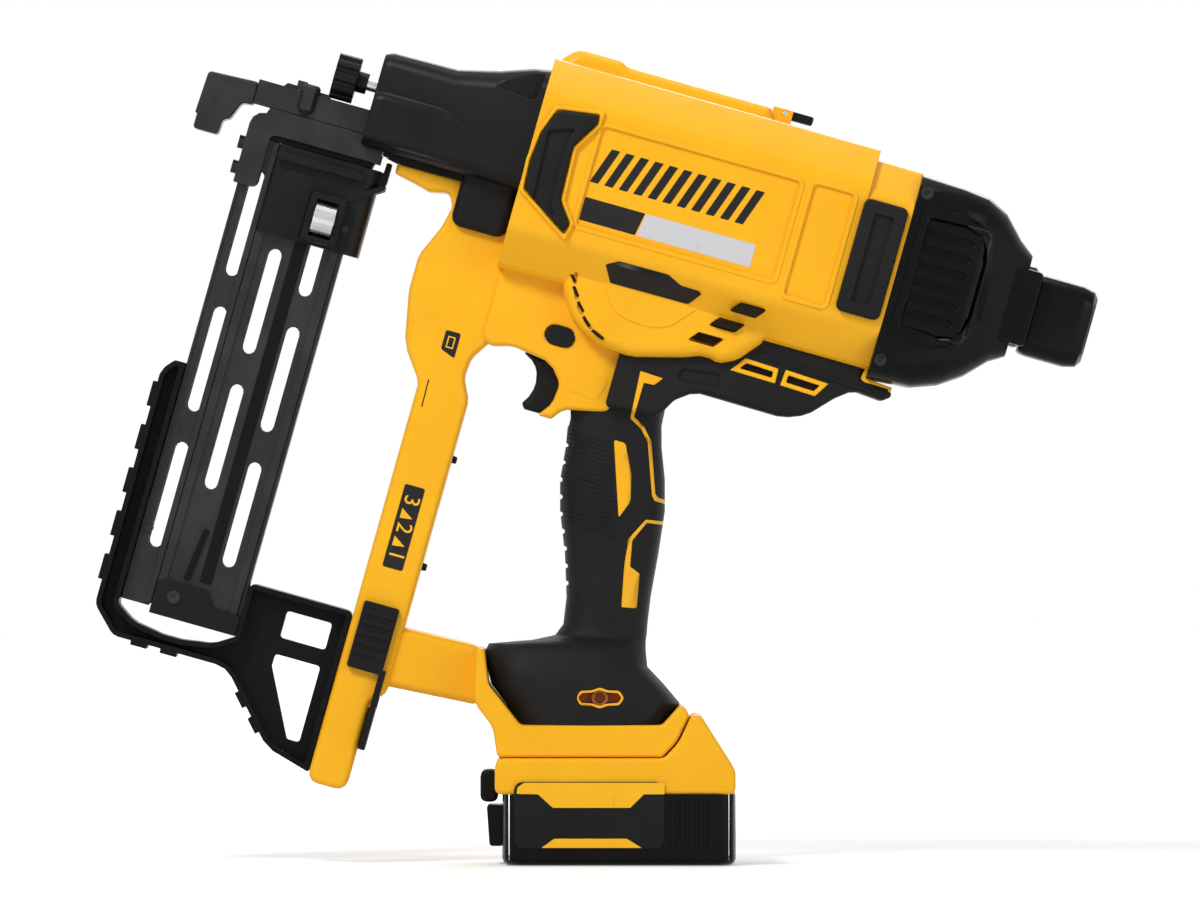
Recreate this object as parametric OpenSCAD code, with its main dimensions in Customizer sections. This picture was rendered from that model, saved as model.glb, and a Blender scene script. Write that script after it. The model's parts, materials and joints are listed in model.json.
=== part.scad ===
// Cordless fencing stapler with a slanted staple magazine and a slide-on battery.
// Lengths are millimetres. The tool stands on its battery at Z = 0.
// +X runs from the nose to the tail, +Y to the right-hand side, +Z up.
// The drive frame has its origin on the drive axis, at the front plane of the barrel.

/* [Stance] */
// Angle between the drive axis and the floor
tilt = 15.7; // [14.5:0.1:17]
// Distance of the barrel's front plane ahead of the standing centre
barrel_ahead = 33.5; // [31:0.5:36]
// Height of the drive axis at the barrel's front plane
drive_height = 324; // [321:1:328]

/* [Barrel] */
// Length of the barrel
barrel_len = 180; // [172:1:195]
// Width across the flat sides of the barrel
barrel_w = 92; // [86:1:100]
// Height of the barrel's top above the drive axis
barrel_up = 55; // [53:0.5:60]
// Depth of the barrel's underside below the drive axis
barrel_down = 46; // [45:0.5:49]
// Length of the hump on top of the barrel
hump_len = 105; // [95:1:112]
// Height of the hump above the barrel's top
hump_rise = 7.5; // [6:0.5:9]
// Height by which the side pads stand proud
pad_proud = 4.5; // [3:0.5:6]
// Height of the rear side pads
pad_h = 54; // [48:1:58]

/* [Nose] */
// Length of the nose cover
nose_len = 77; // [74:1:82]
// Width of the nose cover where it meets the barrel
nose_w = 80; // [74:1:86]
// Height of the nose cover above the drive axis where it meets the barrel
nose_up = 49; // [47:0.5:52]
// Travel of the contact trip
trip_travel = 6.5; // [5:0.5:7]
// Diameter of the depth wheel
wheel_d = 22; // [18:0.5:22]
// Thickness of the depth wheel
wheel_t = 11; // [8:0.5:12]

/* [Tail] */
// Length of the rear cap
cap_len = 60; // [56:1:66]
// Length of the tail cover that stands out of the rear cap
tail_len = 30; // [26:1:36]
// Width of the tail cover
tail_w = 39; // [34:1:42]
// Number of ribs in the air grille of the rear cap
grille_count = 7; // [5:1:8]

/* [Strut and grip] */
// Depth of the strut from front to back
strut_depth = 25; // [22:0.5:27]
// Width of the strut
strut_w = 34; // [30:1:35]
// Distance from the drive axis down to the strut's foot
strut_drop = 302; // [295:1:306]
// Width of the handle at its middle
grip_w = 38; // [34:0.5:39]
// Width of the belly below the barrel
belly_w = 54; // [48:1:57]
// Width of the flywheel drum
drum_w = 68; // [64:1:74]
// Width of the base
base_w = 72; // [68:1:75]
// Travel of the trigger
trigger_travel = 6; // [4:0.5:6.5]

/* [Magazine] */
// Crown width of the staples that it takes
staple_crown = 13; // [11:0.5:13]
// Leg length of the staples that it takes
staple_leg = 50; // [46:1:50]
// Length of the magazine
magazine_len = 226; // [215:1:228]
// Wall of the magazine
magazine_wall = 2; // [1.5:0.1:2.5]
// Width of a lightening slot
slot_w = 6.6; // [5:0.2:7]
// Length of a lightening slot
slot_len = 51; // [40:1:54]
// Distance from one slot to the next in a column
slot_pitch = 66; // [62:1:68]
// Travel of the pusher
pusher_travel = 130; // [100:1:140]
// Travel of the magazine drawer
drawer_travel = 70; // [50:1:80]

/* [Battery] */
// Length of the battery case
battery_len = 109; // [106:1:112]
// Width of the battery case
battery_w = 75; // [72:1:78]
// Height of the battery's lower case
case_h = 33; // [32:0.5:35]
// Height at which the base meets the battery
deck_h = 50; // [49.5:0.5:52]
// Diameter of a cell
cell_d = 18.4; // [17:0.1:18.6]

/* [Hidden] */

// Colours
yellow = "#f5b31c";
black = "#232323";
rubber = "#2b2b2c";
steel = "#a9adb0";
dark_steel = "#55585b";
brass = "#b99445";
copper = "#b06a3a";

// Fits and smoothness shared by all pieces
slip = 0.3;
running = 0.05;
overrun = 1;
least_radius = 0.3;
corner_angle = 30;
rim_steps = 3;
prism_sides = 12;
corner_share = 0.48;
// A prism's corner radius over the radius of the circle inside it
prism_reach = 1 / cos(180 / prism_sides);

// Barrel section
side_up = 37;
side_down = 27;
barrel_top_w = 60;
barrel_bottom_w = 58;
barrel_edge_r = 7;
barrel_wall = 4;
rear_band_len = 22;
rear_band_drop = 5;
hump_start = 2;
hump_w = 32;
hump_rim = 5;

// Mechanism bay along the drive axis
bay_w = 36;
bay_up = 20;
bay_down = 11.5;

// Side pads and panels of the barrel
pad_seat = 2;
pad_round = 3;
pad_rim = 1.5;
front_pad_start = 2;
front_pad_len = 25;
rear_pad_len = 21;
rear_pad_edge = 2;
rear_pad_low = 23;
panel_depth = 1.2;
panel_start = 30;
panel_len = 96;
panel_low = 18;
panel_h = 48;
rib_panel_start = 132;
rib_panel_len = 20;
panel_round = 3;

// Vents of the barrel
vent_len = 11;
vent_h = 3.8;
vent_lean = 3.2;
vent_round = 0.6;
vent_step = [7.6, 9.2];
vent_first = [114.5, -32.4];
vent_floor = 26;
vent_count = 3;
dash_count = 5;
dash_r = 31.6;
dash_len = 4;
dash_h = 1.6;
dash_start = 190;
dash_span = 55;
dash_depth = 1.4;

// Nose cover
nose_down = 9;
nose_edge_share = 0.26;
nose_wall = 3;
nose_bay_up = 29;
nose_bulge_up = 19;
nose_bulge_w = 66;
nose_leg_len = 27;
nose_leg_drop = 33;
nose_leg_w = 46;
nose_leg_r = 5;
arm_window_up = 10;
nose_step = 5;

// Strut, trigger housing and drum, in the drive frame
strut_rear = 4;
head_len = 62;
head_drop = 108;
strut_rim = 2.9;
foot_round = 5;
foot_len = 19;
foot_step = 258;
trigger_house_start = 2;
trigger_house_len = 74;
trigger_house_w = 40;
trigger_house_rim = 2.4;
drum_start = 30;
drum_len = 102;
drum_drop = 70;
drum_rim = 6;
crossbar_w = 30;
crossbar_low = 250;
crossbar_high = 221;
crossbar_sink = 10;
crossbar_foot = 23.5;
crossbar_rim = 4;

// Base and handle, in the standing frame
base_front = 57;
base_len = 102;
base_h = 52;
base_rim = 1.8;
core_front = 7;
core_len = 24;
core_w = 22;
core_top = 222;
grip_top = 214;
grip_points = 14;
belly_start = 66;
belly_len = 128;
belly_top = 41;
belly_h = 55;
belly_rim = 3;
belly_vent_len = 14;
belly_vent_h = 5;
belly_vent_floor = 22;
belly_vent_z = 61;
belly_vent_x = [122, 145];
dimple_from = [98.5, -71.4];
dimple_to = [112, -69.8];
dimple_r = 3.2;
dimple_depth = 1.2;
rib_count = 9;
rib_start = 131.3;
rib_pitch = 8.1;
rib_depth = 1.2;
rib_h = 3;

// Belt hook socket
hook_x = 2;
hook_rise = 27.7;
hook_len = 20.4;
hook_h = 4.8;
hook_floor = 29;
hook_r = 3.9;
hook_bore_r = 2.5;
hook_depth = 19;
hook_mouth = 32;

// Rear cap and tail
cap_up = 49;
cap_down = 50;
cap_edge_share = 0.3;
cap_w = 90;
grille_start = 6;
grille_len = 32;
grille_h = 54;
grille_low = 23;
grille_w = 91;
grille_groove = 3.6;
grille_depth = 3;
grille_frame = 4;
grille_round = 4;
boss_sink = 18;
boss_out = 5;
boss_w = 43;
boss_up = 22;
boss_down = 17;
boss_r = 7;
tail_up = 19.5;
tail_r = 8;
tail_wall = 4;
rod_room = 1.5;

// Driver
blade_t = 3;
blade_tip = 70;
blade_end = 30;
carriage_len = 100;
carriage_w = 15;
carriage_down = 10.2;
carriage_up = 1.7;
ear_start = 100;
ear_len = 8;
ear_w = 34.5;
ear_up = 9.5;
ear_in = 10;
tail_rod_r = 5;
tail_rod_end = 262;
guide_r = 2;
guide_y = 14;
guide_z = 5;
guide_end = 146;
plate_ahead = 66;
plate_t = 20;
plate_up = 26;
rear_plate_start = 140;
rear_plate_t = 8;
bumper_len = 12;
bumper_w = 20;
bumper_up = 9;
bumper_down = 10;
spring_r = 3.2;
spring_wire = 0.9;
spring_room = 1;
bush_start = 190;
bush_len = 16;
bush_r = 8;

// Flywheel and motor
wheel_x = 68;
wheel_drop = 36;
flywheel_r = 25.5;
rim_t = 4.5;
flywheel_w = 24;
web_t = 3;
shaft_r = 4;
shaft_len = 60;
bearing_r = 9;
bearing_t = 5;
stator_r = 20.4;
stator_w = 20;
stator_teeth = 12;
tooth_gap = 2.4;
tooth_depth = 8;
sleeve_r = 7;
sleeve_bore_r = 4.8;
mount_r = 16;
mount_t = 3;
mount_y = 22;

// Pinch roller and solenoid
roller_r = 8;
roller_w = 12;
roller_gap = 1.2;
axle_r = 2.5;
yoke_t = 2.5;
yoke_len = 12;
yoke_down = 5;
yoke_bridge = 22;
yoke_top = 27;
plunger_r = 3;
plunger_len = 12;
solenoid_len = 28;
solenoid_w = 26;
solenoid_foot = 32;

// Trigger, buttons and lever
trigger_x = 22;
trigger_len = 24;
trigger_top = 81;
trigger_h = 26;
trigger_w = 16;
trigger_rim = 2.5;
trigger_room = 0.4;
switch_len = 18;
switch_h = 18;
switch_top = 82;
switch_w = 18;
trigger_spring_r = 3;
trigger_spring_z = 95;
button_x = 37;
button_z = 69.5;
button_len = 14;
button_h = 9;
button_proud = 1.5;
lever_start = 107;
lever_len = 17;
lever_w = 16;
lever_t = 4;
lever_lift = 2.4;
lever_pin_r = 1.2;
lever_knuckle_r = 2.2;
lug_t = 2.6;
lug_len = 7;

// Nosepiece, bracket and contact trip
nose_tip = 122;
channel_wall = 1.2;
channel_up = 6;
channel_down = 2.2;
wire_room = 0.3;
arm_w = 23;
arm_t = 2.5;
arm_roof = 2;
arm_front = 131;
arm_up = 8.4;
arm_down = 3;
tab_h = 15;
tab_w = 8;
trip_spring_z = 12;
trip_spring_r = 3;
trip_spring_pocket = 14;
foot_len_x = 25;
trip_foot_w = 26;
trip_foot_up = 7;
trip_foot_down = 22;
trip_foot_rim = 1.5;
knob_r = 2.4;
knob_x = 111;
knob_h = 13;
knob_y = 9;
wheel_start = 98;
wheel_z = 20;
rod_r = 3;
rod_end = 50;
lobe_count = 10;
lobe_r = 1.6;
hub_r = 5;
hub_len = 10;
bracket_front = 130;
bracket_top = 6;
bracket_t = 9;
bracket_leg = 35;
bracket_leg_len = 11;
bracket_w = 26;
bolt_r = 1.6;
bolt_head_r = 3.2;
bolt_head_t = 3;
bolt_drop = [22, 34];

// Magazine
magazine_top = 17;
rail_front = 128;
rail_depth = 13.4;
spine_slot = 5;
ridge_t = 1.5;
ridge_w = 4;
side_slot_count = 3;
middle_slot_count = 2;
column_a = 119.5;
column_b = 102;
column_c = 84;
side_slot_low = 216;
middle_slot_low = 183;
rivet_r = 2;
rivet_t = 1;
rivet_drop = [160, 208];
rivet_x = 124.5;
cap_wall = 2.8;
cap_h = 14;
cap_floor = 3;
cap_notch = 6;
cap_screw_r = 3;
cap_screw_x = 104;
cap_screw_t = 1.6;

// Foot frame
frame_arm = 10.4;
arm_guide = 62;
frame_below = 18;
sole_drop = 37;
frame_w = 28;
frame_web = 8;
frame_rim = 2.5;
shelf_rise = 23;
frame_arch = 9;
frame_round = 6;
frame_window_len = 22;
frame_window_h = 13;
frame_bar = 8;
cleat_t = 2;
cleat_count = 5;
cleat_len = 12;
cleat_pitch = 21;
cleat_short = 8;

// Pusher
pusher_top = 18;
pusher_h = 42;
pusher_wall = 3.6;
pusher_back = 7.4;
pusher_front = 113.2;
flange_h = 7;
flange_w = 5;
coil_r = 8.5;
coil_len = 10;
coil_x = 89;
coil_z = 47;
coil_bore_r = 3.2;
coil_box = 24;
coil_cheek = 3;
coil_turns = 5;
coil_steps = 24;
coil_strip = 0.5;
coil_pin_r = 2.9;
coil_pin_reach = 3;

// Latch
latch_len = 17;
latch_top = 213;
latch_h = 32;
latch_t = 3.6;
latch_rib_count = 5;
latch_rib = 1.2;
latch_stem_len = 36;
latch_stem_t = 3;

// Battery
battery_front = 43.5;
battery_corner = 9;
battery_foot = 2.5;
battery_wall = 2.5;
shell_nose = 3.5;
shell_rim = 2;
shell_shift = 0.8;
hump_crest = 49;
shell_back_h = 44;
side_panel_len = 70;
side_panel_h = 31;
side_panel_low = 8;
side_panel_x = 38;
side_panel_t = 1.2;
side_panel_round = 4;
case_rib_count = 5;
case_rib_w = 2.2;
case_rib_h = 24;
case_rib_x = 35;
case_rib_pitch = 4.4;
case_rib_t = 1;
cell_len = 65;
cell_rows = 2;
cell_columns = 5;
cell_pitch = 19.2;
cell_first_x = 31;
rail_w = 44;
rail_h = 7;
rail_start = 38;
rail_len = 64;
clip_len = 8.5;
clip_w = 34;
clip_low = 29;
clip_h = 15;
clip_reach = 10.5;
clip_sink = 2;
terminal_len = 34;
terminal_w = 30;
terminal_h = 6;
board_len = 50;
board_w = 40;
board_t = 3;
board_x = 102;
board_drop = 66;

// Fasteners
screw_r = 1.8;
screw_head_r = 3.4;
screw_head_t = 2.6;
screw_len = 12;
cap_screw_head_r = 3;
cap_screw_len = 3.2;
cap_screw_out = 1.8;

// Outlines as shares of the sizes that they follow, with a corner radius share
strut_head_shares = [
  [1, 0.10, 0.02], [1, 0.157, 0.02], [0.84, 0.176, 0.05], [0.71, 0.195, 0.05], [0.565, 0.175, 0.05],
  [0.515, 0.23, 0.05], [0.55, 0.325, 0.15], [0.66, 0.47, 0.15], [0.66, 0.63, 0.3], [0.58, 0.86, 0.25]
];
strut_throat_shares = [
  [0, 1.02, 0.12], [0.08, 0.93, 0.1], [0.065, 0.84, 0.1], [-0.1, 0.695, 0.1], [-0.26, 0.105, 0.05]
];
trigger_house_shares = [
  [0, 0.78, 0.09], [0.2, 0.74, 0.1], [0.46, 0.765, 0.1], [0.555, 0.843, 0.08], [0.54, 0.935, 0.08],
  [0.47, 1, 0.01], [0.56, 1, 0.02], [0.62, 0.945, 0.06], [0.89, 0.907, 0.06], [0.945, 0.843, 0.06],
  [1, 0.583, 0.06], [1, 0.105, 0.03], [0, 0.105, 0.03]
];
drum_shares = [
  [0, 0.2, 0.06], [0.02, 0.686, 0.15], [0.118, 0.9, 0.2], [0.255, 0.986, 0.2], [0.41, 1, 0.2],
  [0.637, 0.91, 0.15], [0.735, 0.857, 0.1], [0.80, 0.886, 0.06], [0.88, 0.83, 0.1], [0.98, 0.657, 0.1],
  [1, 0.2, 0.06]
];
belly_shares = [
  [0, 1, 0.05], [0.2, 0.945, 0.05], [0.24, 0.78, 0.1], [0.305, 0.665, 0.14], [0.64, 0.673, 0.25],
  [0.72, 0.6, 0.2], [0.8, 0.4, 0.15], [0.86, 0.29, 0.1], [0.97, 0.31, 0.03], [1, 0.255, 0.03],
  [0.985, 0.18, 0.03], [0.88, 0.175, 0.03], [0.865, -0.15, 0.03], [0, -0.15, 0.03]
];
base_shares = [
  [0.108, 0, 0.04], [0.863, 0, 0.04], [0.93, 0.135, 0.2], [0.99, 0.385, 0.04], [0.95, 0.48, 0.04],
  [0.863, 0.29, 0.06], [0.216, 0.29, 0.06], [0.07, 0.654, 0.08], [0.05, 0.98, 0.03], [0.01, 0.98, 0.03],
  [0, 0.5, 0.15], [0.088, 0.27, 0.15]
];
trigger_shares = [
  [1, 0.36, 0.5], [0.97, 0, 0.05], [0, 0, 0.02], [0.29, 0.15, 0.25], [0.42, 0.385, 0.35],
  [0.4, 0.69, 0.35], [0.26, 0.9, 0.05], [0.33, 1, 0.06], [0.875, 1, 0.1], [0.985, 0.81, 0.1]
];
front_pad_shares = [
  [0, 0.5, 0.5], [0.03, 0.26, 0.15], [0.95, 0, 0.04], [1, 0.09, 0.04], [0.72, 0.25, 0.2],
  [0.68, 0.7, 0.2], [1, 0.93, 0.04], [1, 1, 0.04], [0.24, 0.95, 0.15], [0.06, 0.74, 0.15]
];
pad_recess_shares = [
  [0.16, 0.775, 0.06], [0.216, 0.209, 0.06], [0.41, 0.144, 0.03], [0.7, 0.12, 0.02],
  [0.576, 0.209, 0.06], [0.568, 0.7, 0.06], [0.64, 0.85, 0.02]
];
trip_foot_shares = [
  [0.04, 0.96, 0.08], [0, 0.25, 0.06], [0.04, 0.25, 0.03], [0.04, 0, 0.06], [0.52, 0, 0.06],
  [0.54, 0.26, 0.1], [0.66, 0.3, 0.06], [0.8, 0.6, 0.1], [1, 0.62, 0.03], [1, 1, 0.05]
];
// Height share, front share, back share, width share and squareness of each section of the grip
grip_shares = [
  [-0.02, -1.03, 0.68, 1.84, 0.5], [0.065, -1.24, 0.91, 1.84, 0.5], [0.126, -1.42, 0.71, 1.82, 0.5],
  [0.18, -1.47, 0.51, 1.74, 0.55], [0.233, -1.49, 0.49, 1.53, 0.6], [0.2535, -1.45, 0.49, 1.4, 0.65],
  [0.264, -0.92, 0.49, 1.16, 0.7], [0.28, -0.63, 0.5, 1.05, 0.75], [0.314, -0.53, 0.51, 1, 0.8],
  [0.4, -0.49, 0.55, 0.95, 0.8], [0.536, -0.51, 0.645, 0.97, 0.8], [0.67, -0.57, 0.725, 1, 0.8],
  [0.77, -0.57, 0.725, 1, 0.8], [0.872, -0.5, 0.685, 0.98, 0.8], [0.94, -0.475, 0.685, 0.98, 0.8],
  [1, -0.475, 0.735, 1.02, 0.8]
];
// Length share, width share, top share and bottom share of each section
nose_shares = [
  [1, 0.62, 0.72, 0.9], [0.95, 0.68, 0.755, 1], [0.55, 0.78, 0.765, 1], [0.3, 0.88, 0.86, 1],
  [0.1, 0.97, 0.97, 1.05], [0, 1, 1, 1.05]
];
nose_wedge_shares = [[0.44, 0.727, 0.03], [0.03, 0.947, 0.02], [0.039, 0.667, 0.06]];
nose_bulge_shares = [[0.99, 0.94, 0.95], [0.93, 1, 1], [0.6, 1.06, 1], [0.3, 1.04, 0.8]];
case_shares = [[0, 1], [0.03, 0.35], [0.09, 0], [1, 0]];
rear_cap_shares = [
  [0, 1, 1, 1], [0.35, 0.98, 0.985, 0.97], [0.55, 0.92, 0.955, 0.88], [0.72, 0.8, 0.85, 0.74],
  [0.88, 0.62, 0.65, 0.54], [1, 0.5, 0.54, 0.45]
];
tail_shares = [[0, 0.96], [0.12, 1], [0.75, 1], [0.93, 0.93], [1, 0.8]];
// Housing screws as shares of the barrel's length and the strut's drop
barrel_screw_shares = [[0.2, 0.08], [0.2, -0.04], [0.67, 0.08], [0.67, -0.04]];
strut_screw_shares = [0.42, 0.62, 0.95];
cap_screw_shares = [[0.065, 0.83], [0.065, -0.81]];
sole_cleat_shares = [0.16, 0.42];
toe_cleat_shares = [0.3, 0.62];
// Share of the handle's height at which its front is found
grip_fronts = [for (s = grip_shares) [s[0], s[1]]];

// Derived sizes
half_bay = bay_w / 2;
plate_sink = strut_head_shares[0][1] * head_drop;
arm_end = plate_ahead + trip_travel + 2 * slip;
switch_x = trigger_x + trigger_len + trigger_travel + slip;
frame_base = magazine_top + magazine_len + frame_below;
frame_sole = frame_base + sole_drop;
frame_shelf = magazine_top + magazine_len - shelf_rise;
frame_window_top = frame_shelf + frame_bar;
frame_top = frame_base - drawer_travel - arm_guide;
spine_slot_low = pusher_top + pusher_h + pusher_travel + overrun;
half_barrel = barrel_w / 2;
base_z = deck_h + slip;
hook_z = base_z + hook_rise;
panel_z = base_z + base_shares[5][1] * base_h;
grip_h = grip_top - panel_z;
shelf_front = strut_rear - strut_depth - slip;
plate_front = -plate_ahead;
plate_back = plate_front + plate_t;
channel_half = staple_crown / 2 + wire_room;
wall_outer = channel_half + magazine_wall;
rail_back = -rail_front + rail_depth;
plate_start = rail_back + 4 * slip;
spine_front = -rail_front + staple_leg + 2 * magazine_wall + 2 * wire_room;
spine_back = spine_front + magazine_wall;
magazine_low = -magazine_top - magazine_len;
roller_z = carriage_up + roller_gap + roller_r;
solenoid_top = barrel_up - barrel_wall;
lever_z = barrel_up + lever_lift + lever_t / 2;
battery_back = battery_len - battery_front;
half_battery = battery_w / 2;
cell_top = battery_wall + 2 * cell_d + slip;
boss_end = barrel_len + cap_len + boss_out;
boss_start = barrel_len + cap_len - boss_sink;
tail_rod_z = (carriage_up - carriage_down) / 2;
grille_x = barrel_len + grille_start;
cap_screw_places = [for (s = cap_screw_shares) [barrel_len + s[0] * cap_len, s[1] * cap_up]];
cap_screw_seat = cap_w / 2 - cap_screw_out - cap_screw_len;
pusher_low = -pusher_top - pusher_h;
coil_pitch = (coil_r - coil_bore_r - coil_strip) / coil_turns;
pusher_half = wall_outer + ridge_t + slip + pusher_wall;
coil_y = -wall_outer - ridge_t - 2 * slip - coil_r;
frame_front = -rail_front - slip - frame_arm;
foot_back = strut_rear - strut_depth + foot_len;
latch_x = strut_rear - strut_depth + latch_rib * 3;
lever_hinge_x = lever_start + lug_len / 2;

// Limits that lie evenly about zero, and limits that start at a place
function span(w) = [-w / 2, w / 2];
function run(start, length) = [start, start + length];

function unit(v) = v / norm(v);
function reversed(list) = [for (i = [len(list) - 1:-1:0]) list[i]];
function flat(p) = [p[0], p[1]];
function bow(v, power) = sign(v) * pow(abs(v), power);

// Points placed by shares of a size from an origin
function placed(shares, origin, size) = [
  for (s = shares)
    [origin[0] + s[0] * size[0], origin[1] + s[1] * size[1], s[2] * min(abs(size[0]), abs(size[1]))]
];

// A point of the drive frame in the standing frame
function standing(p) = [
  p[0] * cos(tilt) + p[1] * sin(tilt) - barrel_ahead,
  p[1] * cos(tilt) - p[0] * sin(tilt) + drive_height
];

// The rounded corner at b between a and c
function corner_arc(a, b, c, r) =
  let (
    u = unit(a - b),
    w = unit(c - b),
    half = acos(u * w) / 2,
    fit = min(r, corner_share * min(norm(a - b), norm(c - b)) * tan(half)),
    middle = b + unit(u + w) * fit / sin(half),
    first = b + u * fit / tan(half) - middle,
    last = b + w * fit / tan(half) - middle,
    start = atan2(first[1], first[0]),
    turn = atan2(cross(first, last), first * last),
    steps = max(1, ceil(abs(turn) / corner_angle - corner_share))
  )
  fit <= 0 ? [b] : [
    for (i = [0:steps])
      middle + fit * [cos(start + turn * i / steps), sin(start + turn * i / steps)]
  ];

function rounded(points) =
  let (n = len(points))
  [for (i = [0:n - 1]) each corner_arc(
    flat(points[(i + n - 1) % n]), flat(points[i]), flat(points[(i + 1) % n]), points[i][2])];

// The same outline with every edge moved inwards
function inset(points, d) =
  let (n = len(points))
  [for (i = [0:n - 1])
    let (
      p = flat(points[i]),
      into = unit(p - flat(points[(i + n - 1) % n])),
      out = unit(flat(points[(i + 1) % n]) - p),
      n1 = [-into[1], into[0]],
      n2 = [-out[1], out[0]],
      q = p + d * (n1 + n2) / (1 + n1 * n2),
      r = points[i][2] + (cross(into, out) > 0 ? -d : d)
    )
    [q[0], q[1], max(least_radius, r)]];

function side_ring(points, y) = [for (p = rounded(points)) [p[0], y, p[1]]];

// Rings from a flat face at y0 to a rounded rim at y1
function rim_rings(points, y0, y1, rim) = concat(
  [side_ring(points, y0)],
  [for (k = [0:rim_steps])
    side_ring(inset(points, rim * (1 - cos(90 * k / rim_steps))),
      y1 - rim + rim * sin(90 * k / rim_steps))]
);

// Rings with a rounded rim at both faces
function slab_rings(points, half_w, rim) = concat(
  [for (k = [rim_steps:-1:0])
    side_ring(inset(points, rim * (1 - cos(90 * k / rim_steps))),
      -half_w + rim - rim * sin(90 * k / rim_steps))],
  [for (k = [0:rim_steps])
    side_ring(inset(points, rim * (1 - cos(90 * k / rim_steps))),
      half_w - rim + rim * sin(90 * k / rim_steps))]
);

// A rounded rectangle across the drive axis at x
function cross_ring(x, half_w, up, down, r) = [
  for (p = reversed(rounded([[-half_w, -down, r], [half_w, -down, r], [half_w, up, r], [-half_w, up,
    r]])))
    [x, p[0], p[1]]
];

// A rounded rectangle at height z
function level_ring(z, x0, x1, half_w, r) = [
  for (p = reversed(rounded([[x0, -half_w, r], [x1, -half_w, r], [x1, half_w, r], [x0, half_w, r]])))
    [p[0], p[1], z]
];

// Half of the grip's section at one height
function grip_ring(s) =
  let (
    x0 = s[1] * grip_w + core_len / 2 - core_front,
    x1 = s[2] * grip_w + core_len / 2 - core_front,
    z = panel_z + s[0] * grip_h
  )
  [for (i = [0:grip_points])
    let (a = 180 - 180 * i / grip_points)
    [(x0 + x1) / 2 + (x1 - x0) / 2 * bow(cos(a), s[4]), grip_w / 2 * s[3] * bow(sin(a), s[4]), z]];

// The handle's front at height z
function grip_front_at(z) = lookup((z - panel_z) / grip_h,
  grip_fronts) * grip_w + core_len / 2 - core_front;

module loft(rings) {
  n = len(rings[0]);
  m = len(rings);
  sides = [
    for (k = [0:m - 2])
      for (i = [0:n - 1])
        let (j = (i + 1) % n, a = k * n)
        each [[a + i, a + j, a + n + j], [a + i, a + n + j, a + n + i]]
  ];
  first = concat([0], [for (i = [n - 1:-1:1]) i]);
  last = [for (i = [0:n - 1]) (m - 1) * n + i];
  polyhedron([for (ring = rings) each ring], concat([first], sides, [last]));
}

module drive_frame() {
  translate([-barrel_ahead, 0, drive_height])
    rotate([0, tilt, 0])
      children();
}

// A piece of one colour in the drive frame
module driven(colour) {
  color(colour)
    drive_frame()
      children();
}

// A box between limits along each axis
module block(x, y, z) {
  translate([x[0], y[0], z[0]])
    cube([x[1] - x[0], y[1] - y[0], z[1] - z[0]]);
}

module both_sides() {
  children();
  mirror([0, 1, 0])
    children();
}

module rod_x(r, x0, x1, y, z) {
  translate([x0, y, z])
    rotate([0, 90, 0])
      cylinder(h = x1 - x0, r = r, $fn = 48);
}

module rod_y(r, y0, y1, x, z) {
  translate([x, y0, z])
    rotate([-90, 0, 0])
      cylinder(h = y1 - y0, r = r, $fn = 48);
}

// A flat-sided hole along Y that a round piece fits in
module prism_y(r, y0, y1, x, z) {
  translate([x, y0, z])
    rotate([-90, 0, 0])
      cylinder(h = y1 - y0, r = r * prism_reach, $fn = prism_sides);
}

// An outline in X and Z, drawn out along Y
module plate_y(points, y0, y1) {
  translate([0, y1, 0])
    rotate([90, 0, 0])
      linear_extrude(y1 - y0)
        polygon(rounded(points));
}

// An outline in Y and Z, drawn out along X
module plate_x(points, x0, x1) {
  translate([x0, 0, 0])
    rotate([90, 0, 90])
      linear_extrude(x1 - x0)
        polygon(rounded(points));
}

// An outline in X and Y, drawn out along Z
module plate_z(points, z0, z1) {
  translate([0, 0, z0])
    linear_extrude(z1 - z0)
      polygon(rounded(points));
}

function box_points(x, z, r) = [[x[0], z[0], r], [x[1], z[0], r], [x[1], z[1], r], [x[0], z[1], r]];

// Height of one groove of the grille
function grille_slot_z(i) = grille_h * (i + 1) / grille_count - grille_low;

function barrel_points(up, down) = [
  [0, -down, 0], [barrel_bottom_w / 2, -down, barrel_edge_r], [half_barrel, -side_down, barrel_edge_r],
  [half_barrel, side_up - barrel_up + up, barrel_edge_r], [barrel_top_w / 2, up - least_radius,
    barrel_edge_r],
  [0, up, 0]
];

hump_points = [
  [hump_start, side_up, least_radius], [hump_start + hump_len, side_up, least_radius],
  [hump_start + hump_len, barrel_up + hump_rise - 2 * lever_t, 2 * least_radius],
  [hump_start + hump_len - lever_t, barrel_up + hump_rise - lever_t / 2, lever_t / 2],
  [hump_start + hump_w, barrel_up + hump_rise - lever_t / 2, lever_t],
  [hump_start + hump_w - lever_t, barrel_up + hump_rise, lever_t],
  [hump_start + hump_rise, barrel_up + hump_rise, hump_rise],
  [hump_start, barrel_up, hump_rise / 2]
];

strut_points = concat(
  placed(strut_head_shares, [strut_rear, 0], [-head_len, -head_drop]),
  [
    [strut_rear - strut_depth, -head_drop, foot_round],
    [strut_rear - strut_depth, -strut_drop, foot_round],
    [strut_rear - strut_depth + foot_len, -strut_drop, foot_round],
    [strut_rear - strut_depth + foot_len, -foot_step, foot_round],
    [strut_rear, -foot_step + foot_round, foot_round]
  ],
  placed(strut_throat_shares, [strut_rear, 0], [-head_len, -head_drop])
);

trigger_house_points = placed(trigger_house_shares, [trigger_house_start, 0],
  [trigger_house_len, -head_drop]);

drum_points = placed(drum_shares, [drum_start, 0], [drum_len, -drum_drop]);

belly_points = placed(belly_shares, [belly_start, -belly_top], [belly_len, -belly_h]);

base_points = placed(base_shares, [-base_front, base_z], [base_len, base_h]);

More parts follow.
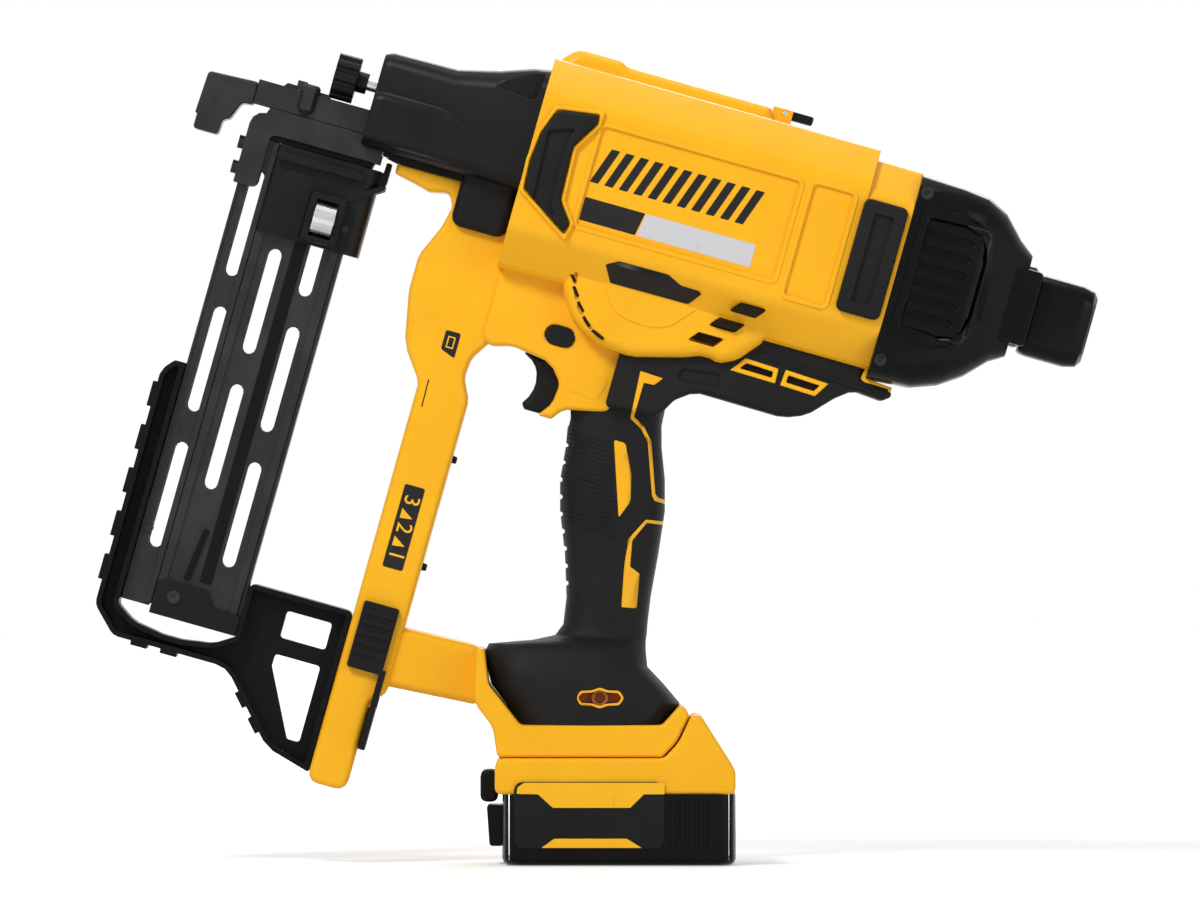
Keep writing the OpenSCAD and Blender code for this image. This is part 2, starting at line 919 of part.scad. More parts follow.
crossbar_points = [
  concat(standing([strut_rear - crossbar_sink, -crossbar_low]), crossbar_rim),
  [crossbar_rim - base_front, base_z + crossbar_foot, crossbar_rim],
  [crossbar_rim - base_front, base_z + base_h - crossbar_rim, crossbar_rim],
  [-base_front + crossbar_rim / 2, base_z + base_h, crossbar_rim],
  concat(standing([strut_rear - crossbar_sink, -crossbar_high]), crossbar_rim)
];

front_pad_points = placed(
  front_pad_shares, [front_pad_start, -rear_pad_low], [front_pad_len, pad_h + pad_round]);

pad_recess_points = placed(
  pad_recess_shares, [front_pad_start, -rear_pad_low], [front_pad_len, pad_h + pad_round]);

rear_pad_points = box_points(
  [barrel_len - rear_pad_edge - rear_pad_len, barrel_len - rear_pad_edge],
  [-rear_pad_low, pad_h - rear_pad_low], pad_round);

nose_leg_points = box_points([-nose_leg_len, 0], [-nose_leg_drop, 0], nose_leg_r);

grille_points = box_points(
  run(grille_x, grille_len), [-grille_low, grille_h - grille_low], grille_round);

bracket_points = [
  [-bracket_front, -bracket_top - bracket_leg, bracket_w / 8],
  [-bracket_front + bracket_leg_len, -bracket_top - bracket_leg, bracket_w / 8],
  [-bracket_front + bracket_leg_len, -bracket_top - bracket_t, bracket_w / 8],
  [plate_front, -bracket_top - bracket_t, least_radius],
  [plate_front, -bracket_top, least_radius],
  [-bracket_front, -bracket_top, bracket_w / 4]
];

end_cap_points = [
  [plate_start, magazine_low - cap_floor, least_radius], [spine_back, magazine_low - cap_floor,
    least_radius],
  [spine_back, magazine_low + cap_h / 2, cap_h / 8], [spine_front - cap_h, magazine_low + cap_h / 2,
    cap_h / 4],
  [spine_front - cap_h, magazine_low + cap_h, cap_h / 4], [plate_start, magazine_low + cap_h, cap_h / 4]
];

// Outline of the foot frame: arm along the rail, sole, shelf at the strut and arch
frame_points = [
  [frame_front + frame_arm / 2, -frame_top, frame_round / 3],
  [frame_front, -frame_top - frame_round, frame_round],
  [frame_front, -frame_base + 2 * frame_round, frame_round],
  [frame_front + 2 * frame_round, -frame_base, frame_round],
  [spine_back, -frame_base, 2 * frame_round],
  [shelf_front - frame_window_len, -frame_sole + frame_round, 2 * frame_round],
  [shelf_front, -frame_sole, least_radius * 2],
  [shelf_front, -frame_shelf, frame_round / 2],
  [spine_back, -frame_shelf, frame_round / 2],
  [spine_back, magazine_low - cap_floor - slip, least_radius],
  [spine_back - frame_arch, magazine_low - frame_arch, frame_arch],
  [(spine_back - rail_front) / 2, magazine_low - frame_arch - cap_floor, 5 * frame_round],
  [-rail_front + frame_arch, magazine_low - frame_arch, frame_arch],
  [-rail_front - slip, magazine_low - cap_floor, frame_round / 2],
  [-rail_front - slip, -frame_top, least_radius]
];

window_points = box_points(
  [shelf_front - frame_bar - frame_window_len, shelf_front - frame_bar],
  [-frame_window_top - frame_window_h, -frame_window_top], frame_round / 4);

gusset_points = [
  [shelf_front - frame_bar - frame_window_len, -frame_base + frame_round, frame_round / 4],
  [shelf_front - frame_bar - frame_round, -frame_sole + 2 * frame_round, frame_round / 4],
  [shelf_front - frame_bar, -frame_sole + 2 * frame_round, frame_round / 4],
  [shelf_front - frame_bar, -frame_window_top - frame_window_h - frame_bar, frame_round / 4],
  [shelf_front - frame_bar - frame_window_len, -frame_window_top - frame_window_h - frame_bar,
    frame_round / 4]
];

pusher_points = [
  [-pusher_front, -pusher_half, pusher_wall / 2], [spine_back + pusher_back, -pusher_half,
    pusher_wall * 2],
  [spine_back + pusher_back, pusher_half, pusher_wall * 2], [-pusher_front, pusher_half,
    pusher_wall / 2]
];

latch_points = box_points(run(latch_x, latch_len), [-latch_top - latch_h, -latch_top], latch_rib);

trip_foot_points = placed(
  trip_foot_shares, [-arm_front - foot_len_x, -trip_foot_down],
    [foot_len_x, trip_foot_up + trip_foot_down]);

trigger_points = placed(trigger_shares, [trigger_x, -trigger_top], [trigger_len, -trigger_h]);

shell_points = [
  [battery_back, case_h, shell_rim + overrun],
  [battery_back, shell_back_h, 2 * shell_rim], [hump_crest, base_points[3][1] - slip,
    shell_rim + overrun],
  for (i = [3:-1:1])
    [base_points[i][0] + shell_shift, base_points[i][1] - slip, base_points[i][2] + shell_rim],
  [-battery_front - shell_nose, deck_h, 2 * shell_rim],
  [-battery_front - shell_nose, case_h, shell_rim + overrun]
];

clip_points = box_points(
  [-battery_front - clip_reach, -battery_front - clip_reach + clip_len], run(clip_low, clip_h),
  shell_rim + overrun);

// Places of the screws that hold the two halves together, in the drive frame
housing_screw_places = concat(
  [for (s = barrel_screw_shares) [s[0] * barrel_len, s[1] * strut_drop]],
  [for (s = strut_screw_shares) [strut_rear - strut_depth / 2, -s * strut_drop]]
);

module barrel_half() {
  plate_x(barrel_points(barrel_up, barrel_down), 0, barrel_len - rear_band_len);
  plate_x(barrel_points(barrel_up - rear_band_drop, barrel_down), barrel_len - rear_band_len,
    barrel_len);
  loft(rim_rings(hump_points, 0, hump_w / 2, hump_rim));
  block(
    [lever_start - lug_t, lever_start + lug_len],
    [lever_w / 2 + slip, lever_w / 2 + slip + lug_t],
    [side_up, lever_z + lever_t / 2]);
}

module trigger_house_half(y0) loft(rim_rings(trigger_house_points, y0, trigger_house_w / 2,
  trigger_house_rim));

module drum_half(y0) loft(rim_rings(drum_points, y0, drum_w / 2, drum_rim));

// The outer form of the right half of the yellow housing
module housing_form() {
  drive_frame() {
    barrel_half();
    loft(rim_rings(strut_points, 0, strut_w / 2, strut_rim));
    trigger_house_half(0);
    drum_half(0);
  }
  loft(rim_rings(crossbar_points, 0, crossbar_w / 2, crossbar_rim));
  loft(rim_rings(base_points, 0, base_w / 2, base_rim));
  block([-core_front, core_len - core_front], [0, core_w / 2], [base_z + rail_h, core_top]);
}

// Rooms inside the barrel and the trigger housing
module drive_rooms() {
  block([-overrun, barrel_len + overrun], [-overrun, half_bay], [-bay_down, bay_up]);
  block(
    [wheel_x - solenoid_len / 2, wheel_x + solenoid_len / 2],
    [-overrun, solenoid_w / 2], [bay_up - overrun, solenoid_top]);
  prism_y(flywheel_r + 4 * slip, -overrun, mount_y + mount_t, wheel_x, -wheel_drop);
  prism_y(bearing_r, 0, shaft_len / 2, wheel_x, -wheel_drop);
  block(
    [trigger_x - overrun, switch_x], [-overrun, trigger_w / 2 + trigger_room],
    [-trigger_top - trigger_h - 2 * overrun, -trigger_top + trigger_room]);
  block(run(switch_x, switch_len), [-overrun, switch_w / 2], [-switch_top - switch_h, -switch_top]);
  button_shape(-overrun, trigger_house_w, slip);
  prism_y(lever_pin_r, -overrun, lever_w, lever_hinge_x, lever_z);
}

// A slot with round ends along Y, from point a to point b
module slot_y(a, b, r, y0, y1) {
  hull()
    for (p = [a, b])
      translate([p[0], y0, p[1]])
        rotate([-90, 0, 0])
          cylinder(h = y1 - y0, r = r, $fn = prism_sides);
}

// A flat-sided hole along X that a round piece fits in
module prism_x(r, x0, x1, y, z) {
  translate([x0, y, z])
    rotate([0, 90, 0])
      cylinder(h = x1 - x0, r = r * prism_reach, $fn = prism_sides);
}

// Pockets and vents cut in the outside of the barrel
module barrel_marks() {
  plate_y(front_pad_points, half_barrel - pad_seat, half_barrel + overrun);
  plate_y(rear_pad_points, half_barrel - pad_seat, half_barrel + overrun);
  plate_y(
    box_points(run(panel_start, panel_len), [-panel_low, panel_h - panel_low], panel_round),
    half_barrel - panel_depth, half_barrel + overrun);
  plate_y(
    box_points(run(rib_panel_start, rib_panel_len),
      [-rear_pad_low, pad_h - rear_pad_low], panel_round),
    half_barrel - panel_depth, half_barrel + overrun);
  for (i = [0:vent_count - 1])
    let (x = vent_first[0] - i * vent_step[0], z = vent_first[1] - i * vent_step[1])
      hull()
        for (p = [[x, z], [x + vent_len, z], [x + vent_len - vent_lean, z - vent_h],
          [x - vent_lean, z - vent_h]])
          prism_y(vent_round, vent_floor, half_barrel + overrun, p[0], p[1]);
  for (i = [0:dash_count - 1])
    let (a = dash_start + dash_span * i / (dash_count - 1), along = dash_len / 2 * [sin(a), -cos(a)],
      middle = [wheel_x + dash_r * cos(a), -wheel_drop + dash_r * sin(a)])
      slot_y(middle + along, middle - along, dash_h / 2, drum_w / 2 - dash_depth, half_barrel + overrun);
}

// Rooms inside the base for the battery's rail and the terminals
module base_rooms() {
  block(
    [-rail_start - slip, base_len], [-overrun, rail_w / 2 + slip],
    [base_z - overrun, deck_h + rail_h + slip]);
  block(
    span(terminal_len), [-overrun, terminal_w / 2],
    [deck_h + rail_h, deck_h + rail_h + slip + terminal_h]);
}

// The socket of the belt hook, open to the right
module hook_room() {
  slot_y(
    [hook_x - hook_len / 2 + hook_h / 2, hook_z], [hook_x + hook_len / 2 - hook_h / 2, hook_z],
    hook_h / 2, hook_floor, base_w);
  prism_y(hook_r, hook_depth, base_w, hook_x, hook_z);
}

// The lock button's oval section, drawn out along Y
module button_shape(y0, y1, room) {
  plate_y(
    box_points(
      [button_x - button_len / 2 - room, button_x + button_len / 2 + room],
      [-button_z - button_h / 2 - room, -button_z + button_h / 2 + room], button_h / 2),
    y0, y1);
}

module housing_half() {
  difference() {
    housing_form();
    drive_frame() {
      drive_rooms();
      barrel_marks();
    }
    base_rooms();
  }
}

// Depth at which a housing screw's head is seated
function screw_seat(p) = (p[1] < -head_drop ? strut_w / 2 : half_barrel) - screw_head_t;

module housing_left() {
  color(yellow)
    mirror([0, 1, 0])
      housing_half();
}

module housing_right() {
  color(yellow)
    difference() {
      housing_half();
      drive_frame()
        for (p = housing_screw_places) {
          prism_y(screw_head_r, screw_seat(p) - screw_head_t, half_barrel + overrun, p[0],
            p[1]);
          prism_y(screw_r, screw_seat(p) - screw_len, screw_seat(p), p[0], p[1]);
        }
    }
}

module housing_screws() {
  driven(dark_steel)
    for (p = housing_screw_places)
      difference() {
        union() {
          rod_y(screw_head_r, screw_seat(p) - screw_head_t, screw_seat(p), p[0], p[1]);
          rod_y(screw_r, screw_seat(p) - screw_len, screw_seat(p) - screw_head_t, p[0], p[1]);
        }
        translate([p[0], screw_seat(p) - screw_r, p[1]])
          rotate([-90, 0, 0])
            cylinder(h = screw_head_t, r = screw_r, $fn = 6);
      }
}

module nose_cover() {
  driven(black)
    difference() {
      union() {
        loft([for (s = nose_shares)
          cross_ring(-s[0] * nose_len, s[1] * nose_w / 2, s[2] * nose_up,
            s[3] * nose_down, s[1] * nose_w / 2 * nose_edge_share)]);
        loft([for (s = nose_bulge_shares)
          cross_ring(-s[0] * nose_len, s[1] * nose_bulge_w / 2, s[2] * nose_bulge_up,
            nose_down - nose_wall, nose_leg_r)]);
        loft(slab_rings(nose_leg_points, nose_leg_w / 2, nose_leg_r - overrun));
      }
      both_sides()
        plate_y(
          placed(nose_wedge_shares, [0, 0], [-nose_len, nose_up]), nose_w / 2 - nose_step, nose_w);
      block([-nose_len + nose_wall, overrun], span(bay_w), [-nose_up, nose_bay_up]);
      block(
        [-nose_len - overrun, -nose_len + 2 * nose_wall],
        [-bracket_w / 2 - slip, bracket_w / 2 + slip], [-nose_up, arm_window_up]);
      block(
        [-nose_len - overrun, -nose_len + 2 * nose_wall],
        [-tab_w / 2 - 2 * slip, tab_w / 2 + 2 * slip], [0, tab_h + 2 * slip]);
      prism_x(rod_r + slip, -nose_len - overrun, -nose_len + 2 * nose_wall, 0, wheel_z);
    }
}

module rear_cap() {
  driven(black)
    difference() {
      union() {
        loft([for (s = rear_cap_shares)
          cross_ring(barrel_len + s[0] * cap_len, s[1] * cap_w / 2, s[2] * cap_up,
            s[3] * cap_down, s[1] * cap_w / 2 * cap_edge_share)]);
        loft(slab_rings(grille_points, grille_w / 2, grille_round - overrun));
        loft([
          cross_ring(boss_start, boss_w / 2, boss_up, boss_down, boss_r),
          cross_ring(boss_end - boss_r / 4, boss_w / 2, boss_up, boss_down, boss_r),
          cross_ring(boss_end, boss_w / 2 - boss_r / 4, boss_up - boss_r / 4,
            boss_down - boss_r / 4, boss_r)
        ]);
      }
      both_sides()
        for (i = [0:grille_count - 2])
          slot_y(
            [grille_x + grille_frame, grille_slot_z(i)],
            [grille_x + grille_len - 2 * grille_frame, grille_slot_z(i)],
            grille_groove / 2, grille_w / 2 - grille_depth, grille_w);
      prism_x(bush_r, bush_start, bush_start + bush_len, 0, tail_rod_z);
      prism_x(tail_rod_r + rod_room, barrel_len - overrun, boss_end + overrun, 0, tail_rod_z);
      both_sides()
        for (p = cap_screw_places)
          prism_y(cap_screw_head_r, cap_screw_seat, cap_w, p[0], p[1]);
    }
}

module rear_cap_screws() {
  driven(steel)
    both_sides()
      for (p = cap_screw_places)
        difference() {
          rod_y(cap_screw_head_r, cap_screw_seat, cap_screw_seat + cap_screw_len, p[0], p[1]);
          translate([p[0], cap_screw_seat + cap_screw_len / 2, p[1]])
            rotate([-90, 0, 0])
              cylinder(h = cap_screw_len, r = screw_r, $fn = 6);
        }
}

module tail_cover() {
  driven(rubber)
    difference() {
      loft([for (s = tail_shares)
        cross_ring(boss_end + s[0] * tail_len, s[1] * tail_w / 2, s[1] * tail_up,
          s[1] * tail_up, tail_r)]);
      prism_x(tail_rod_r + rod_room, boss_end - overrun, boss_end + tail_len - tail_wall, 0,
        tail_rod_z);
    }
}

module front_side_pads() {
  driven(rubber)
    both_sides()
      difference() {
        loft(rim_rings(front_pad_points, half_barrel - pad_seat, half_barrel + pad_proud,
          pad_rim));
        plate_y(
          pad_recess_points, half_barrel + pad_proud - pad_seat,
          half_barrel + pad_proud + overrun);
      }
}

module rear_side_pads() {
  driven(rubber)
    both_sides()
      difference() {
        loft(rim_rings(rear_pad_points, half_barrel - pad_seat, half_barrel + pad_proud,
          pad_rim));
        plate_y(
          inset(rear_pad_points, 2 * pad_round), half_barrel + pad_proud - pad_seat,
          half_barrel + pad_proud + overrun);
      }
}

// The black overmoulding of the right half: handle, base panel and belly
module grip_half() {
  difference() {
    union() {
      loft([for (s = grip_shares) grip_ring(s)]);
      drive_frame()
        loft(rim_rings(belly_points, 0, belly_w / 2, belly_rim));
    }
    drive_frame() {
      trigger_house_half(-overrun);
      drum_half(-overrun);
      block([-overrun, barrel_len], [-overrun, half_barrel], [-barrel_down, 0]);
      block(run(board_x, board_len), [-overrun, board_w / 2], [-board_drop - board_t, -board_drop]);
      for (x = belly_vent_x)
        slot_y([x, -belly_vent_z], [x + belly_vent_len, -belly_vent_z + belly_vent_h / 4],
          belly_vent_h / 2, belly_vent_floor, belly_w);
      slot_y(dimple_from, dimple_to, dimple_r, belly_w / 2 - dimple_depth, belly_w);
      drive_rooms();
    }
    loft(rim_rings(base_points, -overrun, base_w / 2, base_rim));
    block([-core_front, core_len - core_front], [-overrun, core_w / 2], [base_z, core_top]);
    hook_room();
    for (i = [0:rib_count - 1])
      let (z = rib_start + i * rib_pitch, x = grip_front_at(z))
        slot_y([x - rib_h, z], [x, z], rib_depth, -overrun, grip_w);
  }
}

module grip_left() {
  color(rubber)
    mirror([0, 1, 0])
      grip_half();
}

module grip_right() {
  color(rubber)
    grip_half();
}

module hook_inserts() {
  color(brass)
    both_sides()
      difference() {
        rod_y(hook_r, hook_depth, hook_mouth, hook_x, hook_z);
        rod_y(hook_bore_r, hook_depth + overrun, hook_mouth + overrun, hook_x, hook_z);
      }
}

module nosepiece() {
  driven(steel)
    difference() {
      block(
        [-nose_tip, plate_front], [-channel_half - channel_wall, channel_half + channel_wall],
        [-channel_down, channel_up]);
      block(
        [-nose_tip - overrun, plate_front + overrun], span(2 * channel_half),
        [-channel_down - overrun, blade_t / 2 + wire_room]);
    }
}

module nose_bracket() {
  driven(dark_steel)
    difference() {
      union() {
        both_sides()
          plate_y(bracket_points, wall_outer + 2 * slip, bracket_w / 2);
        block(
          [-bracket_front, -rail_front], span(bracket_w),
          [-bracket_top - bracket_leg, -bracket_top - bracket_t]);
      }
      for (z = bolt_drop)
        rod_x(bolt_r, -bracket_front - overrun, -rail_front + overrun, 0, -z);
    }
}

module bracket_bolts() {
  driven(steel)
    for (z = bolt_drop) {
      rod_x(bolt_r, -bracket_front, -rail_front + magazine_wall, 0, -z);
      rod_x(bolt_head_r, -bracket_front - bolt_head_t, -bracket_front, 0, -z);
    }
}

// Slots of one column that lie within the magazine
module slot_column(x, low, count) {
  for (i = [0:count - 1])
    slot_y(
      [x, low + i * slot_pitch + slot_w / 2], [x, low + i * slot_pitch + slot_len - slot_w / 2],
      slot_w / 2, -bracket_w, bracket_w);
}

module front_rail() {
  driven(dark_steel)
    difference() {
      block([-rail_front, rail_back], span(2 * wall_outer), [magazine_low, -magazine_top]);
      block(
        [-rail_front + magazine_wall, rail_back + overrun], span(2 * channel_half),
        [magazine_low - overrun, overrun - magazine_top]);
      slot_column(-column_a, -side_slot_low, side_slot_count);
      for (z = bolt_drop)
        rod_x(bolt_r, -rail_front - overrun, -rail_front + 2 * magazine_wall, 0, -z);
    }
}

module rail_rivets() {
  driven(steel)
    both_sides()
      for (z = rivet_drop)
        rod_y(rivet_r, wall_outer, wall_outer + rivet_t, -rivet_x, -z);
}

module magazine_plate() {
  difference() {
    union() {
      block([plate_start, spine_front], [channel_half, wall_outer], [magazine_low, -magazine_top]);
      for (x = [plate_start, spine_front - ridge_w])
        block(run(x, ridge_w), [wall_outer - overrun, wall_outer + ridge_t],
          [magazine_low, -magazine_top]);
    }
    slot_column(-column_b, -middle_slot_low, middle_slot_count);
    slot_column(-column_c, -side_slot_low, side_slot_count);
  }
}

module magazine_left_plate() {
  driven(dark_steel)
    mirror([0, 1, 0])
      magazine_plate();
}

module magazine_right_plate() {
  driven(dark_steel)
    magazine_plate();
}

module magazine_spine() {
  driven(dark_steel)
    difference() {
      block([spine_front, spine_back], span(2 * wall_outer), [magazine_low, -magazine_top]);
      block(
        [spine_front - overrun, spine_back + overrun], span(spine_slot),
        [-spine_slot_low, overrun - magazine_top]);
    }
}

module magazine_end_cap() {
  driven(black)
    difference() {
      union() {
        both_sides()
          plate_y(end_cap_points, wall_outer + ridge_t, wall_outer + ridge_t + cap_wall);
        block(
          [plate_start, spine_back], [-wall_outer - ridge_t - cap_wall,
            wall_outer + ridge_t + cap_wall],
          [magazine_low - cap_floor, magazine_low]);
      }
      for (i = [0:2])
        block(
          [plate_start + cap_notch * (2 * i + 1), plate_start + cap_notch * (2 * i + 2)],
          [wall_outer, bracket_w], [magazine_low - cap_floor - overrun, magazine_low]);
    }
}

module end_cap_screw() {
  driven(steel)
    mirror([0, 1, 0])
      difference() {
        rod_y(cap_screw_r, wall_outer + ridge_t + cap_wall,
          wall_outer + ridge_t + cap_wall + cap_screw_t,
          -cap_screw_x, magazine_low + cap_h / 2);
        translate([-cap_screw_x, wall_outer + ridge_t + cap_wall + cap_screw_t / 2,
          magazine_low + cap_h / 2])
          rotate([-90, 0, 0])
            cylinder(h = cap_screw_t, r = cap_screw_r / 2, $fn = 6);
      }
}

// Short cleats along the edge from a to b, with the frame on its left
module edge_cleats(a, b, shares) {
  for (s = shares)
    let (p = a + s * (b - a), way = b - a)
      translate([p[0], 0, p[1]])
        rotate([0, -atan2(way[1], way[0]), 0])
          block([0, cleat_short], span(frame_w), [-cleat_t, overrun]);
}

module foot_frame() {
  driven(black) {
    edge_cleats(flat(frame_points[3]), flat(frame_points[4]), sole_cleat_shares);
    edge_cleats(flat(frame_points[4]), flat(frame_points[5]), toe_cleat_shares);
    difference() {
      plate_y(frame_points, -frame_w / 2, frame_w / 2);
      both_sides()
        plate_y(inset(frame_points, frame_rim), frame_web / 2, frame_w);
      plate_y(window_points, -frame_w, frame_w);
      plate_y(gusset_points, -frame_w, frame_w);
    }
    for (i = [0:cleat_count - 1])
      block(
        [frame_front - cleat_t, frame_front + overrun], span(frame_w),
        [-frame_top - frame_round - cleat_pitch * i - cleat_len - frame_round,
          -frame_top - frame_round - cleat_pitch * i - frame_round]);
  }
}

module pusher_carriage() {
  driven(black)
    difference() {
      union() {
        difference() {
          plate_z(pusher_points, pusher_low, -pusher_top);
          block(
            [-pusher_front - overrun, spine_back + 2 * slip],
            [-wall_outer - ridge_t - slip, wall_outer + ridge_t + slip],
            [pusher_low - overrun, overrun - pusher_top]);
        }
        both_sides()
          block(
            [-pusher_front, spine_back], [wall_outer + ridge_t + slip,
              pusher_half + flange_w],
            [-pusher_top - flange_h, -pusher_top - flange_h / 2]);
        block([spine_front - spine_slot, spine_back + pusher_back],
          [-spine_slot / 2 + slip, spine_slot / 2 - slip],
          [pusher_low, -pusher_top - flange_h]);
        block([plate_start + spine_slot, spine_front - slip],
          [-channel_half + slip, channel_half - slip],
          [pusher_low, -pusher_top - flange_h]);
        block(
          [-coil_x - coil_cheek - slip, -coil_x + coil_len + coil_cheek + slip],
            [-coil_box, -pusher_half],
          [-coil_z - coil_r - coil_cheek, -coil_z + coil_r + coil_cheek]);
      }
      block(
        [-coil_x - slip, -coil_x + coil_len + slip], [-coil_box - overrun,
          coil_y + coil_r + slip],
        [-coil_z - coil_r - slip, -coil_z + coil_r + slip]);
      rod_x(coil_pin_r, -coil_x - coil_pin_reach, -coil_x + coil_len + coil_pin_reach, coil_y,
        -coil_z);
    }
}

// Points of the coiled strip's middle line, and the least gap between two of its turns
function coil_line(offset) = [
  for (i = [0:coil_turns * coil_steps])
    let (r = coil_bore_r + coil_strip / 2 + coil_pitch * i / coil_steps + offset,
      a = 360 * i / coil_steps)
    [r * cos(a), r * sin(a)]
];
coil_gap = min([
  for (i = [0:(coil_turns - 1) * coil_steps])
    norm(coil_line(-coil_strip / 2)[i + coil_steps] - coil_line(coil_strip / 2)[i])
]);
echo(least_coil_gap = coil_gap);

module spring_coil() {
  driven(steel)
    translate([-coil_x, coil_y, -coil_z])
      rotate([90, 0, 90])
        linear_extrude(coil_len)
          polygon(concat(coil_line(coil_strip / 2), reversed(coil_line(-coil_strip / 2))));
}

module coil_pin() {
  driven(steel)
    rod_x(coil_pin_r, -coil_x - coil_pin_reach, -coil_x + coil_len + coil_pin_reach, coil_y, -coil_z);
}

module magazine_latch() {
  driven(black) {
    both_sides() {
      plate_y(latch_points, strut_w / 2 + slip, strut_w / 2 + slip + latch_t);
      for (i = [0:latch_rib_count - 1])
        block(
          [latch_x + latch_rib, latch_x + latch_len - latch_rib],
          [strut_w / 2 + latch_t, strut_w / 2 + latch_t + slip + latch_rib],
          [-latch_top - latch_rib * (4 * i + 5), -latch_top - latch_rib * (4 * i + 3)]);
      block(
        run(foot_back + slip, latch_stem_t), run(strut_w / 2 + slip, latch_t),
        [-latch_top - latch_h - latch_stem_len, -latch_top - latch_h + 2 * latch_rib]);
    }
    block(
      [foot_back + slip, foot_back + slip + latch_stem_t],
      [-strut_w / 2 - slip - latch_t, strut_w / 2 + slip + latch_t],
      [-latch_top - latch_h - latch_stem_len, -foot_step - latch_stem_t]);
  }
}

module contact_trip_foot() {
  driven(dark_steel)
    difference() {
      loft(slab_rings(trip_foot_points, trip_foot_w / 2, trip_foot_rim));
      block(
        [-arm_front - 2 * foot_len_x, overrun], span(2 * channel_half),
        [-blade_t, blade_t / 2 + wire_room]);
    }
}

module contact_trip_arm() {
  driven(dark_steel) {
    difference() {
      block([-arm_front, -arm_end], span(arm_w), [-arm_down, arm_up]);
      block(
        [-arm_front - overrun, overrun - arm_end], [-arm_w / 2 + arm_t, arm_w / 2 - arm_t],
        [-arm_down - overrun, arm_up - arm_roof]);
    }
    block([-arm_end - arm_t, -arm_end], span(tab_w), [arm_up - arm_roof, tab_h]);
    translate([-knob_x, -knob_y, arm_up - arm_roof])
      cylinder(h = knob_h - arm_up + arm_roof, r = knob_r, $fn = 48);
  }
}

// A plain tube that stands for a spring out of sight
module spring_tube(r, x0, x1, y, z) {
  difference() {
    rod_x(r, x0, x1, y, z);
    rod_x(r - spring_wire, x0 - overrun, x1 + overrun, y, z);
  }
}

module trip_spring() {
  driven(steel)
    spring_tube(trip_spring_r, -arm_end, plate_front + trip_spring_pocket, 0, trip_spring_z);
}

module depth_wheel() {
  driven(black)
    difference() {
      union() {
        rod_x(wheel_d / 2, -wheel_start, -wheel_start + wheel_t, 0, wheel_z);
        rod_x(hub_r, -wheel_start + wheel_t, -wheel_start + wheel_t + hub_len / 2, 0, wheel_z);
      }
      for (i = [0:lobe_count - 1])
        let (a = 360 * (i + 1 / 2) / lobe_count)
          rod_x(lobe_r, -wheel_start - overrun, -wheel_start + wheel_t + overrun,
            wheel_d / 2 * cos(a), wheel_z + wheel_d / 2 * sin(a));
      rod_x(rod_r, -wheel_start - overrun, -wheel_start + wheel_t + hub_len, 0, wheel_z);
    }
}

module depth_rod() {
  driven(steel)
    rod_x(rod_r, -wheel_start, -rod_end, 0, wheel_z);
}

module front_plate() {
  driven(steel)
    difference() {
      block([plate_front, plate_back], span(bay_w), [-plate_sink, plate_up]);
      block(
        [plate_front - overrun, plate_back + overrun], span(2 * channel_half),
        [-blade_t / 2 - wire_room, blade_t / 2 + wire_room]);
      rod_x(rod_r + running, plate_front - overrun, plate_back + overrun, 0, wheel_z);
      rod_x(trip_spring_r, plate_front - overrun, plate_front + trip_spring_pocket, 0,
        trip_spring_z);
      for (y = [-guide_y, guide_y])
        rod_x(guide_r, plate_front + plate_t / 2, plate_back + overrun, y, guide_z);
    }
}

module rear_plate() {
  driven(steel)
    difference() {
      block(run(rear_plate_start, rear_plate_t), span(bay_w), [-bay_down, bay_up]);
      rod_x(tail_rod_r + rod_room, 0, barrel_len, 0, tail_rod_z);
      for (y = [-guide_y, guide_y])
        rod_x(guide_r, 0, guide_end, y, guide_z);
    }
}

module guide_rods() {
  driven(steel)
    for (y = [-guide_y, guide_y])
      rod_x(guide_r, plate_front + plate_t / 2, guide_end, y, guide_z);
}

module return_springs() {
  driven(steel)
    for (y = [-guide_y, guide_y])
      spring_tube(spring_r, plate_back + spring_room, ear_start - spring_room, y, guide_z);
}

module driver_bumper() {
  driven(rubber)
    difference() {
      block(run(plate_back, bumper_len), span(bumper_w), [-bumper_down, bumper_up]);
      block(
        [plate_back - overrun, plate_back + bumper_len + overrun], span(2 * channel_half),
        [-blade_t / 2 - wire_room, blade_t / 2 + wire_room]);
    }
}

module driver() {
  driven(steel) {
    block([-blade_tip, blade_end + overrun], span(staple_crown), span(blade_t));
    block(run(blade_end, carriage_len), span(carriage_w), [-carriage_down, carriage_up]);
    difference() {
      union() {
        block(run(ear_start, ear_len), span(ear_w), [0, carriage_up]);
        both_sides()
          block(run(ear_start, ear_len), [ear_in, ear_w / 2], [0, ear_up]);
      }
      for (y = [-guide_y, guide_y])
        rod_x(guide_r + running, 0, barrel_len, y, guide_z);
    }
    rod_x(tail_rod_r, blade_end + carriage_len - overrun, tail_rod_end, 0, tail_rod_z);
  }
}

module guide_bush() {
  driven(brass)
    difference() {
      rod_x(bush_r, bush_start, bush_start + bush_len, 0, tail_rod_z);
      rod_x(tail_rod_r + running, 0, boss_end, 0, tail_rod_z);
    }
}

module flywheel() {
  driven(dark_steel)
    difference() {
      rod_y(flywheel_r, -flywheel_w / 2, flywheel_w / 2 + web_t, wheel_x, -wheel_drop);
      rod_y(flywheel_r - rim_t, -flywheel_w, flywheel_w / 2, wheel_x, -wheel_drop);
      rod_y(shaft_r, -flywheel_w, flywheel_w, wheel_x, -wheel_drop);
    }
}

module flywheel_shaft() {
  driven(steel)
    rod_y(shaft_r, -shaft_len / 2 + overrun, shaft_len / 2 - overrun, wheel_x, -wheel_drop);
}

